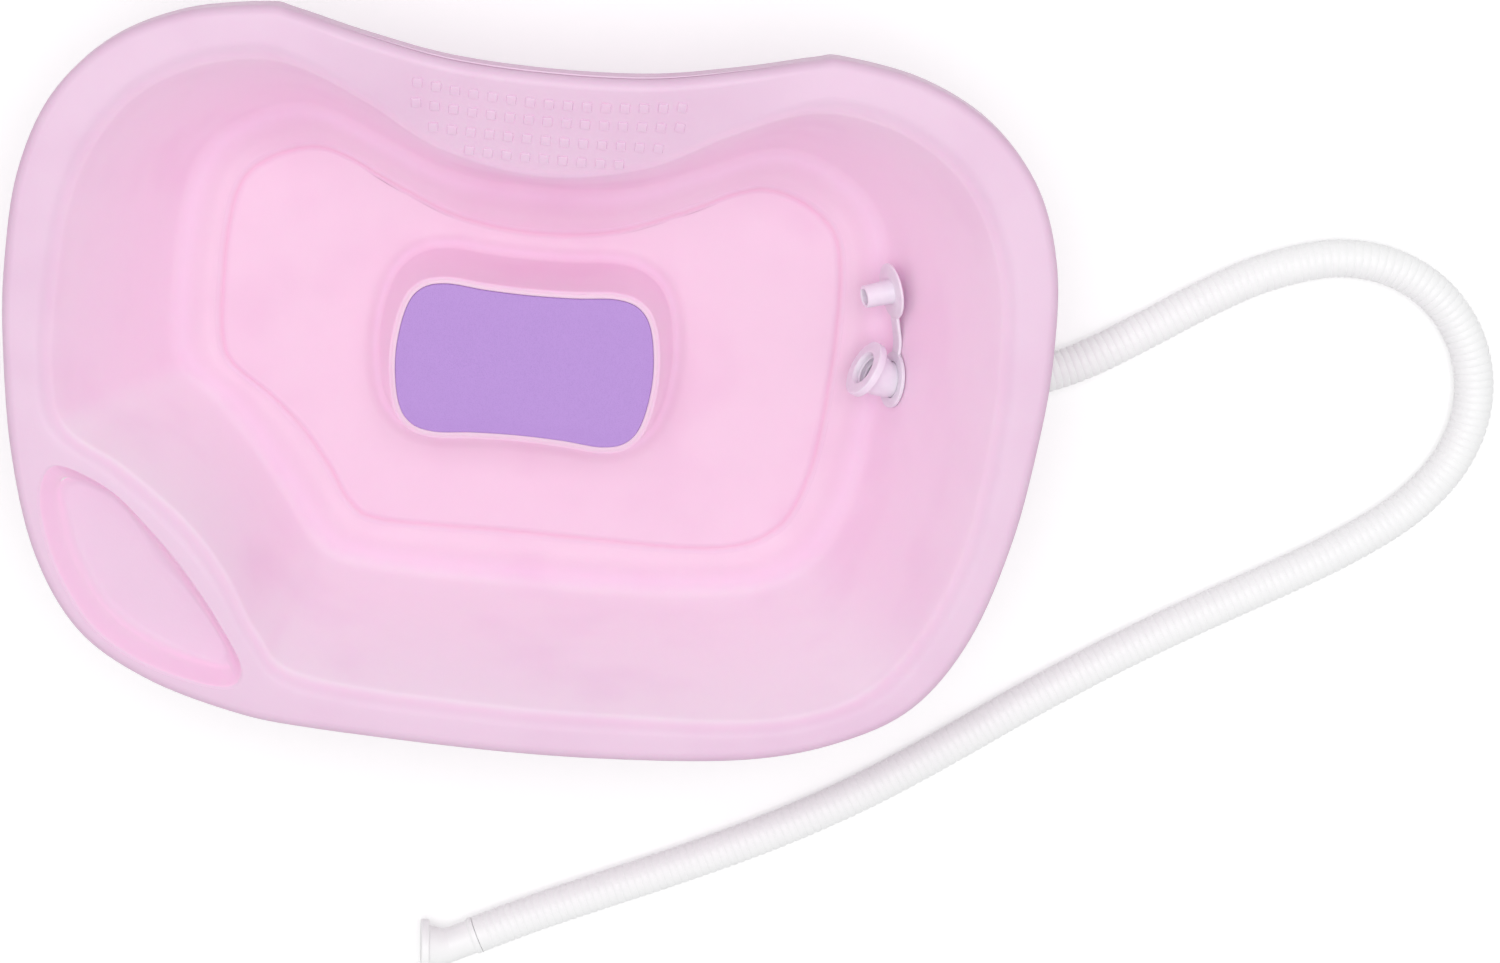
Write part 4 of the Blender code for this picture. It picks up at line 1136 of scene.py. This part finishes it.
print("tray", round((max(p.x for p in mouth_ring) - min(p.x for p in mouth_ring)) * 1000), "mm across")

# %% [markdown]
# ## The nubs on the neck rest
# Four rows of small square nubs keep a wet neck from sliding. Each is a stack of rounded squares that
# stands square to the rim, so the rim's surface is probed from above for its height and slope. They are one
# tool that is joined to the basin in a single step.

# %% Nubs
NUB_PITCH = 0.0105
NUB_HALF = 0.0028
NUB_HEIGHT = 0.0011
NUB_ROOT = 0.0008
NUB_CORNER = 0.30
NUB_ROW_COUNT = [7, 7, 6, 4]
NUB_ROW_SHARES = [0.8000, 0.7519, 0.6990, 0.6471]
NUB_RISE_SHARES = [0.0252, 0.0184, 0.0078, 0.0039]
NUB_STACK = [(-NUB_ROOT, 1.12), (0.0, 1.0), (0.25, 0.95), (0.65, 0.92), (0.88, 0.87), (1.0, 0.76)]


def nub_ring(half, height):
    """Square with rounded corners, level at a height."""
    return at_height(rounded_oblong(half, half, half * NUB_CORNER), height)


count = len(top_rings[0])
surface = BVHTree.FromPolygons(
    [point for ring in top_rings for point in ring],
    [
        (r * count + i, r * count + (i + 1) % count, (r + 1) * count + (i + 1) % count, (r + 1) * count + i)
        for r in range(len(top_rings) - 1)
        for i in range(count)
    ],
)
nubs = bmesh.new()
nub_count = 0
for row_share, rise_share, reach in zip(NUB_ROW_SHARES, NUB_RISE_SHARES, NUB_ROW_COUNT):
    for column in range(-reach, reach + 1):
        share = column / reach
        row_y = on_plan((0, row_share + rise_share * share * share)).y
        place, normal, _, _ = surface.ray_cast(
            Vector((column * NUB_PITCH, row_y, HEIGHT + OVERRUN)), Vector((0, 0, -1))
        )
        if normal.z < 0:
            normal = -normal
        stand = Matrix.Translation(place) @ normal.to_track_quat("Z", "Y").to_matrix().to_4x4()
        skin_faces(nubs, [
            [stand @ point for point in nub_ring(
                NUB_HALF * width, height if height <= 0 else height * NUB_HEIGHT
            )]
            for height, width in NUB_STACK
        ])
        nub_count += 1
print(nub_count, "nubs")

# %% [markdown]
# ## Putting the basin together
# The shell is skinned over its rings, and the tray, the nubs and the drain's hole are joined or cut with
# exact Booleans. The tray's pocket and the nubs have their own variants of the pink, by material indexes
# that stay on the faces that the tools leave. Edges between two indexes are then marked sharp, so that no
# flat face borrows a tool's slope.

# %% Basin moulding
HOLE_RADIUS = 0.0129
HOLE_SIDES = 96


def add_variants(made):
    """Give a piece every variant of the pink, so that an index means the same on the shell and its tools."""
    for finish in pinks[1:]:
        made.data.materials.append(finish.material)


def tool(name, model, index):
    """Shape for a Boolean, with its faces on one of the variants of the pink."""
    made = piece(name, model, basin_pink)
    add_variants(made)
    for face in made.data.polygons:
        face.material_index = index
    return made


def ring_tool(name, rings, index):
    """Boolean shape skinned over rings."""
    model = bmesh.new()
    skin_faces(model, rings)
    return tool(name, model, index)


hole_reach = WALL + OVERRUN
hole = ring_tool("drain_hole", [
    [drain @ point for point in level_circle(reach, HOLE_RADIUS, HOLE_SIDES)]
    for reach in (hole_reach, -hole_reach)
], index=0)
steps = [
    (ring_tool("tray_body", body_rings, index=0), "UNION"),
    (tool("neck_nubs", nubs, index=2), "UNION"),
    (ring_tool("tray_pocket", pocket_rings, index=1), "DIFFERENCE"),
    (hole, "DIFFERENCE"),
]
basin_moulding = skinned("basin_moulding", shell_rings, basin_pink)
add_variants(basin_moulding)
for shape, operation in steps:
    modifier = basin_moulding.modifiers.new(shape.name, "BOOLEAN")
    modifier.operation = operation
    modifier.object = shape
    modifier.solver = "EXACT"

depsgraph = bpy.context.evaluated_depsgraph_get()
joined_mesh = bpy.data.meshes.new_from_object(basin_moulding.evaluated_get(depsgraph))
basin_moulding.modifiers.clear()
basin_moulding.data = joined_mesh
for shape, _ in steps:
    bpy.data.objects.remove(shape)
print("basin:", len(joined_mesh.polygons), "faces")

# %% [markdown]
# ## Clean edges on the basin
# Smooth shading blends the slopes on both sides of an edge. That suits the rolled rim, but along the tray's
# mouth and the feet of the nubs it would smear over the flat rim, so those edges are marked sharp.

# %% Clean edges on the basin
joined_mesh.shade_smooth()
joined_mesh.set_sharp_from_angle(angle=math.radians(SHARP_ABOVE))
model = bmesh.new()
model.from_mesh(joined_mesh)
seams = 0
for edge in model.edges:
    if len(edge.link_faces) == 2 and edge.link_faces[0].material_index != edge.link_faces[1].material_index:
        edge.smooth = False
        seams += 1
open_edges = sum(not edge.is_manifold for edge in model.edges)
model.to_mesh(joined_mesh)
model.free()
dress(basin_moulding, "basin", "basin_shell")
print(seams, "edges between shell and tools,", open_edges, "open edges")

# %% [markdown]
# ## The head pad
# The pad is a foam pressing that sits in the block's recess. It has a rounded rim, a low crown and long sides
# that draw in. Foam of this kind hardly gives, so a cloth simulation would only blur its outline: rings that
# shrink towards the middle and rise over the last few millimetres give the same swell.

# %% Head pad
PAD_THICKNESS = 0.0040
PAD_CROWN = 0.0008
PAD_EDGE = 0.0007
PAD_PRESS = 0.0002
PAD_CROWN_RUN = 0.012
PAD_CROWN_STEPS = 6
PAD_MIDDLE_SHARES = (0.75, 0.5, 0.25, 0.05)

pad_bottom = BLOCK_HEIGHT - PAD_RECESS + CLEARANCE
pad_top = pad_bottom + PAD_THICKNESS
pad_side = grow(pad_outline, PAD_PRESS)
pad_rings = bend(pad_side, pad_bottom, -PAD_EDGE, PAD_EDGE)
pad_rings += bend(pad_side, pad_top, -PAD_EDGE, -PAD_EDGE, level_first=False)
for i in range(PAD_CROWN_STEPS):
    share = (i + 1) / PAD_CROWN_STEPS
    run = PAD_EDGE + (PAD_CROWN_RUN - PAD_EDGE) * share
    pad_rings.append(at_height(grow(pad_side, -run), pad_top + PAD_CROWN * math.sin(math.pi / 2 * share)))
crown = pad_rings[-1]
pad_rings += [
    at_height([PAD_CENTRE + (point - PAD_CENTRE) * share for point in crown], pad_top + PAD_CROWN)
    for share in PAD_MIDDLE_SHARES
]
head_pad = skinned("head_pad", pad_rings, foam)
dress(head_pad, "basin", "headrest_pad")
print("pad", round((pad_top + PAD_CROWN - pad_bottom) * 1000, 1), "mm thick")

# %% [markdown]
# ## The drain's ring
# A soft ring is buttoned into the hole, with a flange on each side of the wall that keeps the water in. It is
# a turned shape, so one profile is swept round its axis. All its edges are rounded, because soft vinyl is
# never moulded sharp.

# %% Drain ring
GROMMET_SEAT = 0.0006
GROMMET_FLANGE_RADIUS = 0.017
GROMMET_FLANGE = 0.0022
GROMMET_NECK_RADIUS = 0.0126
GROMMET_BACK_RADIUS = 0.0155
GROMMET_BACK = 0.0022
SOFT_EDGE = 0.0006
RING_GROOVE = 0.0005
RING_SIDES = 96


def turned_piece(name, profile, finish, place, joined):
    """Profile of radius and height swept round the Z axis of its place."""
    rings = [level_circle(height, radius, RING_SIDES) for radius, height in profile]
    return skinned(name, rings, finish, place, joined)


def soft_corner(radius, height, start):
    """Rounded corner of a soft piece's profile, whose circle is centred at a radius and height."""
    return round_corner(radius, height, SOFT_EDGE, start)


ring_front = GROMMET_SEAT + GROMMET_FLANGE
ring_behind = -WALL - CLEARANCE
ring_bore = END_WAIST_RADIUS + CLEARANCE
ring_end = ring_behind - GROMMET_BACK
ring_profile = [
    *soft_corner(ring_bore + SOFT_EDGE, ring_front - SOFT_EDGE, math.pi),
    *soft_corner(GROMMET_FLANGE_RADIUS - SOFT_EDGE, ring_front - SOFT_EDGE, math.pi / 2),
    (GROMMET_FLANGE_RADIUS - RING_GROOVE, (ring_front + GROMMET_SEAT) / 2),
    *soft_corner(GROMMET_FLANGE_RADIUS - SOFT_EDGE, GROMMET_SEAT + SOFT_EDGE, 0),
    (GROMMET_NECK_RADIUS, GROMMET_SEAT),
    (GROMMET_NECK_RADIUS, ring_behind),
    *soft_corner(GROMMET_BACK_RADIUS - SOFT_EDGE, ring_behind - SOFT_EDGE, math.pi / 2),
    *soft_corner(GROMMET_BACK_RADIUS - SOFT_EDGE, ring_end + SOFT_EDGE, 0),
    (ring_bore, ring_end),
]
drain_ring = turned_piece("drain_ring", ring_profile, milk, drain, True)
dress(drain_ring, "basin", "drain_grommet")
print("ring", round(GROMMET_FLANGE_RADIUS * 2000), "mm wide")

# %% [markdown]
# ## The stopper
# The stopper is a thin disc with a hollow plug, at the end of the strap. At rest it leans off the wall, and
# it swings over to close the inlet. Disc and plug are one turned profile, with the plug's bore open at its
# tip as the photo shows.

# %% Stopper disc
STOPPER_RADIUS = 0.017
STOPPER_THICKNESS = 0.0016
STOPPER_EDGE = 0.0005
PLUG_LENGTH = 0.017
PLUG_ROOT_RADIUS = 0.0074
PLUG_TIP_RADIUS = 0.0068
PLUG_BORE_RADIUS = 0.0048
PLUG_FLOOR = 0.0020
PLUG_ROOT_ROUND = 0.0009
CENTRE_RADIUS = 0.0004

lean = Matrix.Rotation(-STRAP_LEAN, 4, "Y")
strap_frame = drain @ Matrix.Translation((strap_start, 0, STRAP_FACE)) @ lean
stopper_frame = strap_frame @ Matrix.Translation((strap_link + STOPPER_REACH, 0, 0))
edge_z = -STOPPER_THICKNESS / 2
disc_edge = [
    (STOPPER_RADIUS - STOPPER_EDGE + STOPPER_EDGE * math.cos(turn), edge_z * (1 + math.sin(turn)))
    for turn in (-math.pi / 2 + math.pi * i / ARC_STEPS for i in range(ARC_STEPS + 1))
]
stopper_profile = [
    (CENTRE_RADIUS, PLUG_FLOOR),
    (PLUG_BORE_RADIUS - SOFT_EDGE, PLUG_FLOOR),
    (PLUG_BORE_RADIUS, PLUG_FLOOR + SOFT_EDGE),
    *soft_corner(PLUG_BORE_RADIUS + SOFT_EDGE, PLUG_LENGTH - SOFT_EDGE, math.pi),
    *soft_corner(PLUG_TIP_RADIUS - SOFT_EDGE, PLUG_LENGTH - SOFT_EDGE, math.pi / 2),
    (PLUG_ROOT_RADIUS, PLUG_ROOT_ROUND),
    (PLUG_ROOT_RADIUS + PLUG_ROOT_ROUND / 4, PLUG_ROOT_ROUND / 4),
    (PLUG_ROOT_RADIUS + PLUG_ROOT_ROUND, 0),
    *disc_edge,
    (CENTRE_RADIUS, -STOPPER_THICKNESS),
]
stopper_disc = turned_piece("stopper_disc", stopper_profile, milk, stopper_frame, False)
dress(stopper_disc, "stopper", "stopper_cap")
print("stopper", round(STOPPER_RADIUS * 2000), "mm wide, plug", round(PLUG_LENGTH * 1000), "mm long")

# %% [markdown]
# ## The strap
# On the real fitting ring, strap and stopper are one moulding and the strap simply bends. The CAD has a
# stiff link with a hinge at each end. Here the strap is two soft bands that meet in the middle of the link,
# drawn as the strap lies at rest, with its bend at the first hinge.

# %% Strap bands
STRAP_WIDTH = 0.010
STRAP_THICKNESS = 0.0019
STRAP_ROUND = 0.0006
STRAP_BURY = 0.003
STRAP_LAP = 0.0004
STRAP_LAP_SINK = 0.00002
BEND_REACH = 0.0035
BAND_STEP = 0.0005


def strap_point(distance):
    """Where the strap's inner face is, so far past the first bend, and its direction, from the drain."""
    turn = min(max((distance + BEND_REACH) / (BEND_REACH * 2), 0), 1)
    level = Vector((1, 0, 0))
    leaned = Vector((math.cos(STRAP_LEAN), 0, math.sin(STRAP_LEAN)))
    knee = Vector((strap_start, 0, STRAP_FACE))
    if turn <= 0:
        return knee + level * distance, level
    if turn >= 1:
        return knee + leaned * distance, leaned
    start, end = knee - level * BEND_REACH, knee + leaned * BEND_REACH
    point = start * (1 - turn) ** 2 + knee * 2 * turn * (1 - turn) + end * turn ** 2
    return point, level.lerp(leaned, turn).normalized()


def strap_band(name, start, end, sink):
    """Band of the strap between two distances past the first bend, thinner all round by a sink."""
    count = math.ceil((end - start) / BAND_STEP)
    outline = rounded_oblong(STRAP_WIDTH / 2 - sink, STRAP_THICKNESS / 2 - sink, STRAP_ROUND)
    rings = []
    for i in range(count + 1):
        face, heading = strap_point(start + (end - start) * i / count)
        normal = Vector((-heading.z, 0, heading.x))
        middle = face - normal * STRAP_THICKNESS / 2
        rings.append([drain @ (middle + Vector((0, p.x, 0)) + normal * p.y) for p in outline])
    return skinned(name, rings, milk)


ring_side = GROMMET_FLANGE_RADIUS - STRAP_BURY - strap_start
disc_side = strap_link + STOPPER_REACH - STOPPER_RADIUS + STRAP_BURY
strap_root = strap_band("strap_root", ring_side, strap_link / 2, 0)
strap_tip = strap_band("strap_tip", strap_link / 2 - STRAP_LAP, disc_side, STRAP_LAP_SINK)
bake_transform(strap_root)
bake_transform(strap_tip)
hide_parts("stopper_strap")

# %% [markdown]
# ## Table and light
# The basin was shot on white under a very soft light from above. A floor that only reflects would need far
# too much light to turn white, so what the camera and reflections see of it gets a little glow on top. The
# glow is the same everywhere, and the shadows stay.

# %% Floor
FLOOR_REACH = 6.0
FLOOR_SIDES = 64
FLOOR_WHITE = 0.80
FLOOR_GLOW = 0.31
FLOOR_ROUGHNESS = 0.9
FLOOR_GAP = 0.0003

floor_finish = Finish("white_table", {"Specular IOR Level": 0.0})
floor_finish.surface("Base Color", (FLOOR_WHITE, FLOOR_WHITE, FLOOR_WHITE, 1))
floor_finish.surface("Roughness", FLOOR_ROUGHNESS)
seen = floor_finish.node("ShaderNodeLightPath", {}, {}, "Is Camera Ray")
mirrored = floor_finish.node("ShaderNodeLightPath", {}, {}, "Is Glossy Ray")
glow = {"Color": (1, 1, 1, 1), "Strength": (seen + mirrored) * FLOOR_GLOW}
shine = floor_finish.node("ShaderNodeEmission", {}, glow)
matt = Wire(floor_finish, floor_finish.shader.outputs[0])
added = floor_finish.node("ShaderNodeAddShader", {}, {0: matt, 1: shine})
floor_finish.plug(floor_finish.tree.nodes["Material Output"].inputs["Surface"], added)

model = bmesh.new()
bmesh.ops.create_circle(model, cap_ends=True, radius=FLOOR_REACH, segments=FLOOR_SIDES)
bmesh.ops.translate(model, vec=(0, 0, -FLOOR_GAP), verts=model.verts)
floor = piece("table_top", model, floor_finish)
floor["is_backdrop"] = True
print("table", FLOOR_REACH * 2, "m wide")

# %% [markdown]
# ## The sky
# The sky lights the basin from all sides, at about three fifths of full white. The camera, reflections and
# whatever is seen through a clear piece get plain white instead.

# %% Sky
SKY_LIGHT = 0.61
SKY_SEEN = 1.0

world = bpy.data.worlds.new("soft_studio")
bpy.context.scene.world = world
world.use_nodes = True
sky = Network(world.node_tree)
camera_ray, glossy_ray, through_ray = (
    sky.node("ShaderNodeLightPath", {}, {}, f"Is {kind} Ray") for kind in ("Camera", "Glossy", "Transmission")
)
seen_or_mirrored = camera_ray.larger(glossy_ray).larger(through_ray)
levels = {"Value": seen_or_mirrored, "To Min": SKY_LIGHT, "To Max": SKY_SEEN}
background = sky.tree.nodes["Background"]
sky.plug(background.inputs["Color"], (1, 1, 1, 1))
sky.plug(background.inputs["Strength"], sky.node("ShaderNodeMapRange", {}, levels))
print("sky lights at", SKY_LIGHT, "and shows at", SKY_SEEN)

# %% [markdown]
# ## The lamps
# One large soft box hangs over the neck end, near the camera, and the sky does the rest. Large lamps close by
# give the long, gentle gradients that satin plastic shows. Lamps at the sides were left out, because next to
# what they light the floor and the wall below the neck rest look dark.

# %% Lamps
BOX_PLACE = (0.0, 0.30, 2.45)
BOX_AIM = (0.0, 0.0, 0.1)
BOX_SIZE = 1.6
BOX_WATTS = 29


def soft_box(name, place, aim, size, watts):
    """Square area lamp that looks at a point."""
    lamp = bpy.data.lights.new(name, "AREA")
    lamp.shape = "SQUARE"
    lamp.size = size
    lamp.energy = watts
    made = bpy.data.objects.new(name, lamp)
    bpy.context.scene.collection.objects.link(made)
    towards = (Vector(aim) - Vector(place)).normalized()
    made.matrix_world = Matrix.Translation(place) @ towards.to_track_quat("-Z", "Y").to_matrix().to_4x4()
    return made


soft_box("box_above", BOX_PLACE, BOX_AIM, BOX_SIZE, BOX_WATTS)
bpy.context.scene.view_settings.view_transform = "Standard"
print("one soft box of", BOX_SIZE, "m")

# %% Sizes and finish
low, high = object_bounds()
print("visual box", [round(part, 4) for part in (*low, *high)])
